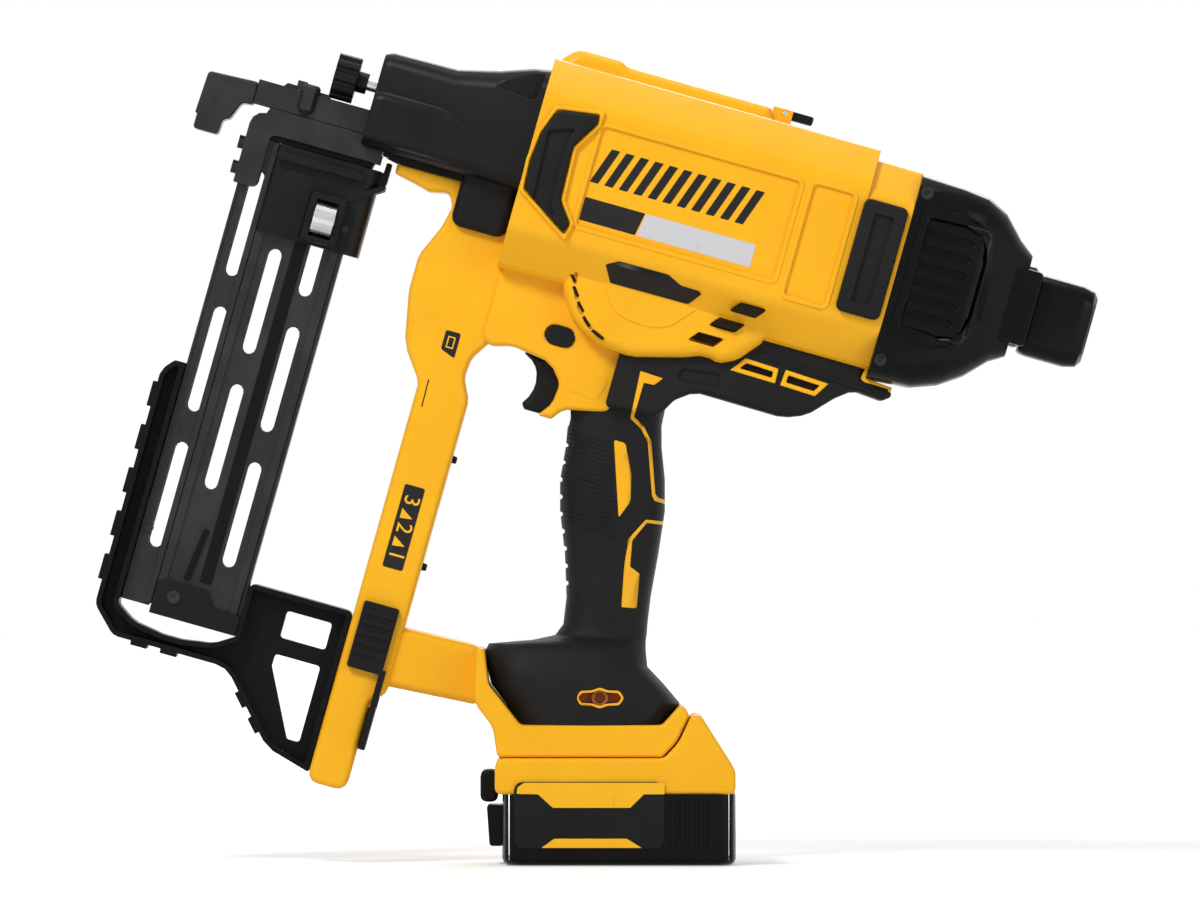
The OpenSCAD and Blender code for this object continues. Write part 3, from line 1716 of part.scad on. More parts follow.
module bearings() {
  driven(steel)
    both_sides()
      difference() {
        rod_y(bearing_r, shaft_len / 2 - bearing_t, shaft_len / 2, wheel_x, -wheel_drop);
        rod_y(shaft_r + running, 0, shaft_len, wheel_x, -wheel_drop);
      }
}

module motor_stator() {
  driven(copper)
    difference() {
      rod_y(stator_r, -stator_w / 2, stator_w / 2, wheel_x, -wheel_drop);
      rod_y(sleeve_r, -stator_w, stator_w, wheel_x, -wheel_drop);
      for (i = [0:stator_teeth - 1])
        translate([wheel_x, 0, -wheel_drop])
          rotate([0, 360 * i / stator_teeth, 0])
            block([stator_r - tooth_depth, stator_r + overrun], [-stator_w, stator_w],
              span(tooth_gap));
    }
}

module stator_mount() {
  driven(steel)
    difference() {
      union() {
        rod_y(sleeve_r, -mount_y, stator_w / 2, wheel_x, -wheel_drop);
        rod_y(mount_r, -mount_y - mount_t, -mount_y, wheel_x, -wheel_drop);
      }
      rod_y(sleeve_bore_r, -shaft_len, shaft_len, wheel_x, -wheel_drop);
    }
}

module pinch_roller() {
  driven(steel) {
    difference() {
      rod_y(roller_r, -roller_w / 2, roller_w / 2, wheel_x, roller_z);
      rod_y(axle_r + running, -roller_w, roller_w, wheel_x, roller_z);
    }
  }
}

module pinch_yoke() {
  driven(dark_steel) {
    both_sides()
      block(
        [wheel_x - yoke_len / 2, wheel_x + yoke_len / 2],
        [roller_w / 2 + slip, roller_w / 2 + slip + yoke_t], [roller_z - yoke_down, yoke_bridge]);
    rod_y(axle_r, -roller_w / 2 - yoke_t, roller_w / 2 + yoke_t, wheel_x, roller_z);
    block(
      [wheel_x - yoke_len / 2, wheel_x + yoke_len / 2],
      [-roller_w / 2 - slip - yoke_t, roller_w / 2 + slip + yoke_t], [yoke_bridge, yoke_top]);
    translate([wheel_x, 0, yoke_top - overrun])
      cylinder(h = plunger_len, r = plunger_r, $fn = 48);
  }
}

module solenoid() {
  driven(copper)
    difference() {
      block(
        [wheel_x - solenoid_len / 2, wheel_x + solenoid_len / 2], span(solenoid_w),
        [solenoid_foot, solenoid_top]);
      translate([wheel_x, 0, solenoid_foot - overrun])
        cylinder(h = plunger_len, r = plunger_r + running, $fn = 48);
    }
}

module trigger() {
  driven(black)
    loft(slab_rings(trigger_points, trigger_w / 2, trigger_rim));
}

module trigger_spring() {
  driven(steel)
    spring_tube(trigger_spring_r, trigger_x + trigger_len, switch_x, 0, -trigger_spring_z);
}

module trigger_switch() {
  driven(black)
    block(run(switch_x, switch_len), span(switch_w), [-switch_top - switch_h, -switch_top]);
}

module lock_button() {
  driven(black)
    button_shape(-trigger_house_w / 2 - button_proud, trigger_house_w / 2 + button_proud, 0);
}

module stall_lever() {
  driven(black)
    difference() {
      union() {
        plate_y(
          box_points([lever_hinge_x, lever_start + lever_len],
            [lever_z - lever_t / 2, lever_z + lever_t / 2], lever_t / 4),
          -lever_w / 2, lever_w / 2);
        rod_y(lever_knuckle_r, -lever_w / 2, lever_w / 2, lever_hinge_x, lever_z);
      }
      rod_y(lever_pin_r + running, -lever_w, lever_w, lever_hinge_x, lever_z);
    }
}

module stall_lever_pin() {
  driven(steel)
    rod_y(lever_pin_r, -lever_w / 2 - slip - lug_t, lever_w / 2 + slip + lug_t, lever_hinge_x,
      lever_z);
}

module controller_board() {
  color("#2f6b45")
    drive_frame()
      block(run(board_x, board_len), span(board_w), [-board_drop - board_t, -board_drop]);
}

module terminal_block() {
  color(black)
    block(
      span(terminal_len), span(terminal_w),
      [deck_h + rail_h + slip, deck_h + rail_h + slip + terminal_h]);
}

module battery_case() {
  color(black)
    difference() {
      union() {
        loft([
          for (s = case_shares)
            level_ring(s[0] * case_h, -battery_front + s[1] * battery_foot,
              battery_back - s[1] * battery_foot, half_battery - s[1] * battery_foot,
                battery_corner)
        ]);
        both_sides()
          for (i = [0:case_rib_count - 1])
            block(
              [case_rib_x + i * case_rib_pitch,
                case_rib_x + i * case_rib_pitch + case_rib_w],
              [half_battery - overrun, half_battery + case_rib_t],
              [case_h - case_rib_w - case_rib_h, case_h - case_rib_w]);
      }
      block(
        [-battery_front + battery_wall, battery_back - battery_wall],
        [-half_battery + battery_wall, half_battery - battery_wall],
          [battery_wall, case_h + overrun]);
      clip_room();
    }
}

module clip_room() {
  block(
    [-battery_front - 2 * shell_nose, -battery_front + clip_sink],
      [-clip_w / 2 - slip, clip_w / 2 + slip],
    [clip_low - slip, clip_low + clip_h + slip]);
}

module battery_shell() {
  color(yellow)
    difference() {
      union() {
        loft(slab_rings(shell_points, half_battery, shell_rim));
        block([-rail_start, -rail_start + rail_len], span(rail_w),
          [deck_h - shell_rim, deck_h + rail_h]);
      }
      block(
        [-battery_front + battery_wall, battery_back - battery_wall],
        [-half_battery + battery_wall, half_battery - battery_wall],
          [case_h - overrun, cell_top]);
      clip_room();
    }
}

module battery_panels() {
  color(black)
    both_sides()
      plate_y(
        box_points([-side_panel_x, -side_panel_x + side_panel_len],
          run(side_panel_low, side_panel_h), side_panel_round),
        half_battery, half_battery + side_panel_t);
}

module battery_button() {
  color(black)
    loft(slab_rings(clip_points, clip_w / 2, shell_rim));
}

module battery_cells() {
  color(steel)
    for (i = [0:cell_columns - 1])
      for (k = [0:cell_rows - 1])
        rod_y(cell_d / 2, -cell_len / 2, cell_len / 2, -cell_first_x + i * cell_pitch,
          battery_wall + cell_d / 2 + k * cell_d);
}

housing_left();
housing_right();
nose_cover();
rear_cap();
tail_cover();
grip_left();
grip_right();
front_side_pads();
rear_side_pads();
housing_screws();
rear_cap_screws();
hook_inserts();
nosepiece();
nose_bracket();
bracket_bolts();
front_rail();
rail_rivets();
contact_trip_foot();
contact_trip_arm();
trip_spring();
depth_wheel();
depth_rod();
magazine_left_plate();
magazine_right_plate();
magazine_spine();
magazine_end_cap();
end_cap_screw();
foot_frame();
pusher_carriage();
spring_coil();
coil_pin();
magazine_latch();
trigger();
trigger_spring();
trigger_switch();
lock_button();
stall_lever();
stall_lever_pin();
driver();
front_plate();
rear_plate();
guide_rods();
return_springs();
driver_bumper();
guide_bush();
flywheel();
flywheel_shaft();
bearings();
motor_stator();
stator_mount();
pinch_roller();
pinch_yoke();
solenoid();
controller_board();
terminal_block();
battery_case();
battery_shell();
battery_panels();
battery_button();
battery_cells();
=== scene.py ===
"""Looks of a cordless fencing stapler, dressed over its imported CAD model.

Sizes and places in the classes are millimetres. A place is either in the standing frame,
with the battery on the floor, or in the drive frame, whose origin lies on the drive axis at
the barrel's front plane. Y points away from the camera, so the left side has a negative Y.
A field whose name ends in _y holds where a piece starts and ends along Y, and one whose name
ends in _half holds half of a piece's width across the tool.
"""
import json
import logging
import math
from dataclasses import dataclass, field
from enum import Enum
from typing import Any, ClassVar, Dict, List, Optional, Sequence, Tuple, Union

import bpy
from mathutils import Matrix, Vector


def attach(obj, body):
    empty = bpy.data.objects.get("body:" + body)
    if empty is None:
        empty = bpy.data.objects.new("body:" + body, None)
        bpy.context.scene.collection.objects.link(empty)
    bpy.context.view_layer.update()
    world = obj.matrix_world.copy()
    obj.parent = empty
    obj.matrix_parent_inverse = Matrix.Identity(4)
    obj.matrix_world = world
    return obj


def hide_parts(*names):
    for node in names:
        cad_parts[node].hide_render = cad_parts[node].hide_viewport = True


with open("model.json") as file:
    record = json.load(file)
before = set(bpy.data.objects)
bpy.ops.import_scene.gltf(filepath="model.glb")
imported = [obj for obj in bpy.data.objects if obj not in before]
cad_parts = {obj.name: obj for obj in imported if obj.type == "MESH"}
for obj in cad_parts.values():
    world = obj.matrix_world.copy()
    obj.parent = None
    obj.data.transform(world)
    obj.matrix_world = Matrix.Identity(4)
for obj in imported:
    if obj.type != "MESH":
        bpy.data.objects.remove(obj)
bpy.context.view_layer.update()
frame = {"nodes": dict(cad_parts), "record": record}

LOG = logging.getLogger("stapler")
MM = 0.001
TILT = 15.7
BARREL_FRONT = (-33.5 * MM, 0, 324 * MM)

Point = Tuple[float, float]
Outline = Tuple[Point, ...]
Colour = Tuple[float, float, float]
Number = Union[float, "Term"]


class Stance(Enum):
    """The frame in which an outline is drawn."""

    STANDING = "standing"
    DRIVE = "drive"

    def matrix(self) -> Matrix:
        """Returns the matrix from this frame to the standing frame, in metres."""
        if self is Stance.STANDING:
            return Matrix.Identity(4)
        return Matrix.Translation(BARREL_FRONT) @ Matrix.Rotation(math.radians(TILT), 4, "Y")


class Spread(Enum):
    """Whether a piece is made once or has a twin on the other side."""

    ONCE = "once"
    BOTH_SIDES = "both sides"


class Slot(Enum):
    """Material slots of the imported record."""

    YELLOW = "yellow_plastic"
    BLACK = "black_plastic"
    RUBBER = "soft_rubber"
    BRIGHT_STEEL = "bright_steel"
    DARK_STEEL = "dark_steel"
    BRASS = "brass_fit"
    WINDING = "winding"
    CELL_CAN = "cell_can"
    BOARD = "board"


def oblong(x0: float, z0: float, x1: float, z1: float) -> Outline:
    """Returns the corners of an oblong."""
    return ((x0, z0), (x1, z0), (x1, z1), (x0, z1))


def disc(x: float, z: float, radius: float, count: int = 20) -> Outline:
    """Returns points round a circle."""
    turns = [math.tau * i / count for i in range(count)]
    return tuple((x + radius * math.cos(a), z + radius * math.sin(a)) for a in turns)


def raised(points: Outline, by: float) -> Outline:
    """Returns an outline moved along Z."""
    return tuple((x, z + by) for x, z in points)


def grown(points: Outline, by: float, bluntest: float = 0.25) -> Outline:
    """Moves an anticlockwise outline outwards.

    Args:
        points: its corners.
        by: the distance.
        bluntest: least cosine that is used at a corner, so that sharp ones stay near.

    Returns:
        The new corners.
    """
    made = []
    for i, place in enumerate(points):
        here = Vector(place)
        into = (here - Vector(points[i - 1])).normalized()
        onward = (Vector(points[(i + 1) % len(points)]) - here).normalized()
        out = Vector((into.y + onward.y, -into.x - onward.x)).normalized()
        made.append(tuple(here + out * (by / max(bluntest, out.dot((into.y, -into.x))))))
    return tuple(made)


class Term:
    """A shader socket that takes part in Python expressions."""

    def __init__(self, nodes: "Nodes", socket: bpy.types.NodeSocket) -> None:
        """Wraps an output socket of a node tree."""
        self.nodes = nodes
        self.socket = socket

    def __add__(self, other: Number) -> "Term":
        """Sum of the two."""
        return self.nodes.math("ADD", self, other)

    def __radd__(self, other: Number) -> "Term":
        """Sum of the two."""
        return self.nodes.math("ADD", other, self)

    def __sub__(self, other: Number) -> "Term":
        """This less the other."""
        return self.nodes.math("SUBTRACT", self, other)

    def __rsub__(self, other: Number) -> "Term":
        """The other less this."""
        return self.nodes.math("SUBTRACT", other, self)

    def __mul__(self, other: Number) -> "Term":
        """Product of the two."""
        return self.nodes.math("MULTIPLY", self, other)

    def __rmul__(self, other: Number) -> "Term":
        """Product of the two."""
        return self.nodes.math("MULTIPLY", other, self)

    def larger(self, other: Number) -> "Term":
        """The larger of the two."""
        return self.nodes.math("MAXIMUM", self, other)

    def ramp(self, low: float, high: float) -> "Term":
        """Smooth step from 0 at low to 1 at high."""
        return self.nodes.out(self.nodes.node(
            "ShaderNodeMapRange", {"interpolation_type": "SMOOTHSTEP"},
            {"Value": self, "From Min": low, "From Max": high}))


class Nodes:
    """A node tree that is filled through the method node()."""

    def __init__(self, tree: bpy.types.NodeTree) -> None:
        """Takes over a tree and empties it."""
        self.tree = tree
        self.tree.nodes.clear()

    def node(self, kind: str, settings: Optional[Dict[str, object]] = None,
             inputs: Optional[Dict[Union[int, str], object]] = None) -> bpy.types.Node:
        """Adds one node.

        Args:
            kind: the node's type.
            settings: properties that are set first.
            inputs: values or terms for its sockets, by name or number.

        Returns:
            The new node.
        """
        made = self.tree.nodes.new(kind)
        for key, value in (settings or {}).items():
            setattr(made, key, value)
        for key, value in (inputs or {}).items():
            self.feed(made.inputs[key], value)
        return made

    def feed(self, socket: bpy.types.NodeSocket, value: object) -> None:
        """Fills a socket.

        Args:
            socket: the socket.
            value: a term that is linked to it, or the socket's own value.
        """
        if isinstance(value, Term):
            self.tree.links.new(value.socket, socket)
        else:
            socket.default_value = value

    def out(self, made: bpy.types.Node, output: Union[int, str] = 0) -> Term:
        """Returns a node's output as a term."""
        return Term(self, made.outputs[output])

    def math(self, operation: str, first: Number, second: Number) -> Term:
        """Returns one sum, product or the like of two values."""
        made = self.node("ShaderNodeMath", {"operation": operation}, {0: first, 1: second})
        return self.out(made)

    def seen(self) -> Term:
        """Returns 1 on a ray from the camera, a reflection or a clear body, and 0 on others."""
        path = self.node("ShaderNodeLightPath")
        shown = self.out(path, "Is Camera Ray").larger(self.out(path, "Is Glossy Ray"))
        return shown.larger(self.out(path, "Is Transmission Ray"))


class Shader(Nodes):
    """One material, with a surface shader and the patterns that feed it."""

    def __init__(self, name: str) -> None:
        """Starts a material.

        Args:
            name: the material's name.
        """
        self.material = bpy.data.materials.new(name)
        self.material.use_nodes = True
        super().__init__(self.material.node_tree)
        self.surface = self.node("ShaderNodeBsdfPrincipled")
        self.node("ShaderNodeOutputMaterial", {}, {"Surface": self.out(self.surface)})

    def mix(self, share: Number, first: object, second: object) -> Term:
        """Mixes two colours.

        Args:
            share: how much of the second there is, from 0 to 1.
            first: a colour or a term.
            second: a colour or a term.

        Returns:
            The mixed colour.
        """
        pair = [(*c, 1.0) if isinstance(c, tuple) else c for c in (first, second)]
        made = self.node("ShaderNodeMix", {"data_type": "RGBA"},
                         {0: share, 6: pair[0], 7: pair[1]})
        return self.out(made, 2)

    def places(self, stretch: Sequence[float] = (1, 1, 1), turn: float = 0.0) -> Term:
        """Reads object coordinates.

        Args:
            stretch: scale along each axis after the turn.
            turn: angle about Y in degrees.

        Returns:
            The mapped coordinates.
        """
        start = self.out(self.node("ShaderNodeTexCoord"), "Object")
        made = self.node("ShaderNodeMapping", {}, {
            "Vector": start, "Rotation": (0, math.radians(turn), 0), "Scale": tuple(stretch)})
        return self.out(made)

    def noise(self, size: float, detail: float = 2.0, stretch: Sequence[float] = (1, 1, 1),
              turn: float = 0.0) -> Term:
        """Makes a cloudy noise.

        Args:
            size: how far across its blots are, about, in millimetres.
            detail: how many finer layers it has.
            stretch: scale along each axis after the turn.
            turn: angle about Y in degrees.

        Returns:
            The noise.
        """
        made = self.node("ShaderNodeTexNoise", {}, {
            "Vector": self.places(stretch, turn), "Scale": 1 / (size * MM), "Detail": detail})
        return self.out(made)

    def cells(self, size: float) -> Term:
        """Returns the distance to the nearest of points about size millimetres apart."""
        return self.out(self.node("ShaderNodeTexVoronoi", {}, {
            "Vector": self.places(), "Scale": 1 / (size * MM)}))

    def rounded(self, radius: float) -> Term:
        """Returns the surface normal with its edges rounded by a radius in millimetres."""
        return self.out(self.node("ShaderNodeBevel", {"samples": 6}, {"Radius": radius * MM}))

    def rubbed(self, normal: Term, low: float, high: float) -> Term:
        """Finds the surface near edges.

        Args:
            normal: the rounded normal.
            low: how far it has turned where the rubbing starts.
            high: how far it has turned where the rubbing is full.

        Returns:
            The rubbing, from 0 to 1.
        """
        plain = self.out(self.node("ShaderNodeNewGeometry"), "Normal")
        made = self.node("ShaderNodeVectorMath", {"operation": "DOT_PRODUCT"},
                         {0: normal, 1: plain})
        return (1.0 - self.out(made, "Value")).ramp(low, high)

    def bump(self, height: Term, depth: float, normal: Optional[Term] = None) -> None:
        """Presses a height into the surface.

        Args:
            height: the pattern.
            depth: its depth in millimetres.
            normal: a normal that it starts from.
        """
        inputs = {"Height": height, "Distance": depth * MM, "Strength": 1.0}
        if normal is not None:
            inputs["Normal"] = normal
        self.dress({"Normal": self.out(self.node("ShaderNodeBump", {}, inputs))})

    def dress(self, inputs: Dict[str, object]) -> None:
        """Fills sockets of the surface shader."""
        for key, value in inputs.items():
            self.feed(self.surface.inputs[key], value)


class Coat:
    """A finish whose material is made once, on first use."""

    made: ClassVar[Dict[str, bpy.types.Material]] = {}
    name: str

    def material(self) -> bpy.types.Material:
        """Returns the material."""
        if self.name not in Coat.made:
            Coat.made[self.name] = self.make()
        return Coat.made[self.name]

    def make(self) -> bpy.types.Material:
        """Returns the material with its nodes, new."""
        raise NotImplementedError


@dataclass(frozen=True)
class Moulding(Coat):
    """Moulded plastic or rubber: spark grain, faint flow mottling, rubbed edges."""

    name: str
    colour: Colour
    shade: Colour
    worn: Colour
    roughness: float
    grain: float
    depth: float
    specular: float
    wear: float
    edge: float
    flow_size: float = 38.0
    scuff_size: float = 5.0
    speck_size: float = 0.9

    def make(self) -> bpy.types.Material:
        """Returns the material with its nodes, new."""
        s = Shader(self.name)
        normal = s.rounded(self.edge)
        flow = s.noise(self.flow_size, 3).ramp(0.3, 0.75)
        scuff = s.noise(self.scuff_size, 4, (1, 1, 0.35)).ramp(0.5, 0.72)
        speck = s.noise(self.speck_size, 1)
        rub = s.rubbed(normal, 0.01, 0.16) * scuff * self.wear
        s.dress({
            "Base Color": s.mix(rub, s.mix(flow, self.colour, self.shade), self.worn),
            "Roughness": self.roughness + 0.08 * (flow - 0.5) - 0.1 * rub + 0.06 * (speck - 0.5),
            "Specular IOR Level": self.specular,
        })
        s.bump(s.cells(self.grain) + 0.5 * speck, self.depth, normal)
        return s.material


@dataclass(frozen=True)
class Metal(Coat):
    """Turned, brushed or coated metal, with streaks along one direction and bare edges."""

    name: str
    colour: Colour
    shade: Colour
    bare: Colour
    metallic: float
    roughness: float
    streak: Tuple[float, float, float]
    depth: float
    wear: float
    specular: float = 0.5
    edge: float = 0.4
    streak_size: float = 0.8
    stain_size: float = 16.0
    rub_size: float = 3.0

    def make(self) -> bpy.types.Material:
        """Returns the material with its nodes, new."""
        s = Shader(self.name)
        normal = s.rounded(self.edge)
        grain = s.noise(self.streak_size, 3, self.streak, TILT)
        stain = s.noise(self.stain_size, 4).ramp(0.35, 0.7)
        patches = s.noise(self.rub_size, 4).ramp(0.42, 0.66)
        rub = s.rubbed(normal, 0.015, 0.2) * patches * self.wear
        s.dress({
            "Base Color": s.mix(rub, s.mix(stain, self.colour, self.shade), self.bare),
            "Metallic": self.metallic + (1.0 - self.metallic) * rub,
            "Roughness": self.roughness + 0.18 * (grain - 0.5) + 0.1 * (stain - 0.5),
            "Specular IOR Level": self.specular,
        })
        s.bump(grain, self.depth, normal)
        return s.material


@dataclass(frozen=True)
class Winding(Coat):
    """Varnished wire laid in close turns, with painted shade in the grooves between them."""

    wave_length: ClassVar[float] = 0.31

    name: str
    colour: Colour
    shade: Colour
    pitch: float
    depth: float = 0.15

    def make(self) -> bpy.types.Material:
        """Returns the material with its nodes, new."""
        s = Shader(self.name)
        scale = self.wave_length / (self.pitch * MM)
        wave = s.out(s.node("ShaderNodeTexWave", {"bands_direction": "Y"}, {
            "Vector": s.places(), "Scale": scale, "Distortion": 0.6}), 1)
        # The shade colour in the wave's troughs is painted shade in the grooves between turns.
        s.dress({
            "Base Color": s.mix(wave, self.shade, self.colour),
            "Roughness": 0.28 + 0.2 * s.noise(2, 2),
            "Metallic": 0.9,
        })
        s.bump(wave, self.depth)
        return s.material


@dataclass(frozen=True)
class Film(Coat):
    """A thin printed or stuck-on film, slightly orange-peeled and scratched."""

    name: str
    colour: Colour
    worn: Colour
    roughness: float
    specular: float
    peel_size: float = 1.6
    fade_size: float = 22.0
    scratch_size: float = 1.1
    scratch_turn: float = 40.0
    depth: float = 0.02

    def make(self) -> bpy.types.Material:
        """Returns the material with its nodes, new."""
        s = Shader(self.name)
        peel = s.noise(self.peel_size, 2)
        scratch = s.noise(self.scratch_size, 5, (1, 1, 0.12), self.scratch_turn).ramp(0.66, 0.74)
        fade = s.noise(self.fade_size, 3).ramp(0.35, 0.8)
        s.dress({
            "Base Color": s.mix(0.55 * scratch + 0.12 * fade, self.colour, self.worn),
            "Roughness": self.roughness + 0.12 * (peel - 0.5) + 0.1 * scratch,
            "Specular IOR Level": self.specular,
        })
        s.bump(peel - 0.3 * scratch, self.depth)
        return s.material


YELLOW = Moulding(
    "moulded_yellow", (0.94, 0.470, 0.012), (0.91, 0.437, 0.010), (0.97, 0.600, 0.070),
    roughness=0.36, grain=0.45, depth=0.010, specular=0.20, wear=0.45, edge=0.9)
BLACK = Moulding(
    "moulded_black", (0.0062, 0.0062, 0.0064), (0.0088, 0.0088, 0.0091), (0.055, 0.055, 0.055),
    roughness=0.38, grain=0.40, depth=0.012, specular=0.12, wear=0.6, edge=0.6)
# Glossier black plastic whose darker colour is painted shade.
GLOSSY_SHADED_BLACK = Moulding(
    "glossy_shaded_black", (0.0024, 0.0024, 0.0026), (0.0038, 0.0038, 0.0040), (0.035, 0.035, 0.035),
    roughness=0.25, grain=0.60, depth=0.004, specular=0.09, wear=0.4, edge=0.6)
# The black plastic darkened with painted shade.
SHADE_DARKENED_BLACK = Moulding(
    "shade_darkened_black", (0.0040, 0.0040, 0.0042), (0.0060, 0.0060, 0.0062), (0.045, 0.045, 0.045),
    roughness=0.42, grain=0.40, depth=0.014, specular=0.08, wear=0.7, edge=0.6)
RUBBER = Moulding(
    "soft_overmould", (0.0098, 0.0096, 0.0095), (0.0140, 0.0137, 0.0135), (0.050, 0.050, 0.050),
    roughness=0.55, grain=0.70, depth=0.030, specular=0.10, wear=0.5, edge=0.8)
# Painted shade: the yellow plastic as it looks in shade inside the belt hook's socket.
SHADED_YELLOW = Moulding(
    "hook_socket", (0.32, 0.075, 0.012), (0.24, 0.050, 0.009), (0.50, 0.160, 0.030),
    roughness=0.45, grain=0.50, depth=0.012, specular=0.20, wear=0.5, edge=0.5)
# Painted shade: dark brown for the inside of vents, slits, slots and holes.
VOID = Moulding(
    "painted_opening_shade", (0.010, 0.0065, 0.004), (0.018, 0.010, 0.005), (0.030, 0.020, 0.012),
    roughness=0.70, grain=1.10, depth=0.120, specular=0.10, wear=0.3, edge=0.3)
STIPPLE = Moulding(
    "stippled_yellow", (0.93, 0.460, 0.012), (0.90, 0.430, 0.010), (0.97, 0.600, 0.070),
    roughness=0.44, grain=1.30, depth=0.110, specular=0.20, wear=0.45, edge=0.5)
SHEET = Metal(
    "coated_sheet", (0.017, 0.017, 0.018), (0.026, 0.026, 0.027), (0.30, 0.30, 0.31),
    metallic=0.25, roughness=0.38, streak=(1, 1, 0.2), depth=0.012, wear=0.45, specular=0.25)
STEEL = Metal(
    "turned_steel", (0.56, 0.57, 0.58), (0.44, 0.44, 0.45), (0.75, 0.75, 0.76),
    metallic=1.0, roughness=0.30, streak=(0.1, 1, 1), depth=0.008, wear=0.4)
BRASS = Metal(
    "turned_brass", (0.66, 0.45, 0.16), (0.52, 0.33, 0.10), (0.80, 0.60, 0.30),
    metallic=1.0, roughness=0.32, streak=(1, 0.1, 1), depth=0.008, wear=0.4)
# Brass darkened and reddened with painted shade, for the inserts in the belt hook's socket.
SHADE_DARKENED_BRASS = Metal(
    "shade_darkened_brass", (0.30, 0.105, 0.030), (0.22, 0.075, 0.020), (0.50, 0.25, 0.08),
    metallic=0.5, roughness=0.45, streak=(1, 0.1, 1), depth=0.008, wear=0.3, specular=0.2)
CAN = Metal(
    "cell_sleeve", (0.50, 0.51, 0.52), (0.42, 0.43, 0.44), (0.65, 0.65, 0.66),
    metallic=1.0, roughness=0.35, streak=(1, 0.1, 1), depth=0.006, wear=0.3)
# Its second colour is painted shade in the grooves between turns.
COPPER = Winding("copper_wire", (0.58, 0.27, 0.12), (0.22, 0.09, 0.04), pitch=0.8)
BOARD = Film("lacquered_board", (0.03, 0.17, 0.075), (0.09, 0.30, 0.15),
             roughness=0.35, specular=0.4)
INK = Film("black_print", (0.0085, 0.0078, 0.0075), (0.040, 0.036, 0.033),
           roughness=0.38, specular=0.2)
PALE = Film("grey_print", (0.60, 0.60, 0.615), (0.45, 0.45, 0.46), roughness=0.40, specular=0.3)
GOLD = Film("yellow_print", (0.94, 0.49, 0.016), (0.80, 0.38, 0.015), roughness=0.40, specular=0.2)

SLOT_FINISHES: Dict[Slot, Coat] = {
    Slot.YELLOW: YELLOW, Slot.BLACK: BLACK, Slot.RUBBER: RUBBER, Slot.BRIGHT_STEEL: STEEL,
    Slot.DARK_STEEL: SHEET, Slot.BRASS: BRASS, Slot.WINDING: COPPER, Slot.CELL_CAN: CAN,
    Slot.BOARD: BOARD,
}
# Finishes of single nodes; the darker black copies among them carry painted shade.
NODE_FINISHES: Dict[str, Coat] = {
    "rear_cap": GLOSSY_SHADED_BLACK, "tail_cover": GLOSSY_SHADED_BLACK, "battery_case": GLOSSY_SHADED_BLACK, "foot_frame": SHADE_DARKENED_BLACK,
    "rear_cap_screws": SHEET, "battery_button": SHADE_DARKENED_BLACK, "rail_rivets": SHEET,
    "bracket_bolts": SHEET, "end_cap_screw": SHEET, "hook_inserts": SHADE_DARKENED_BRASS,
}


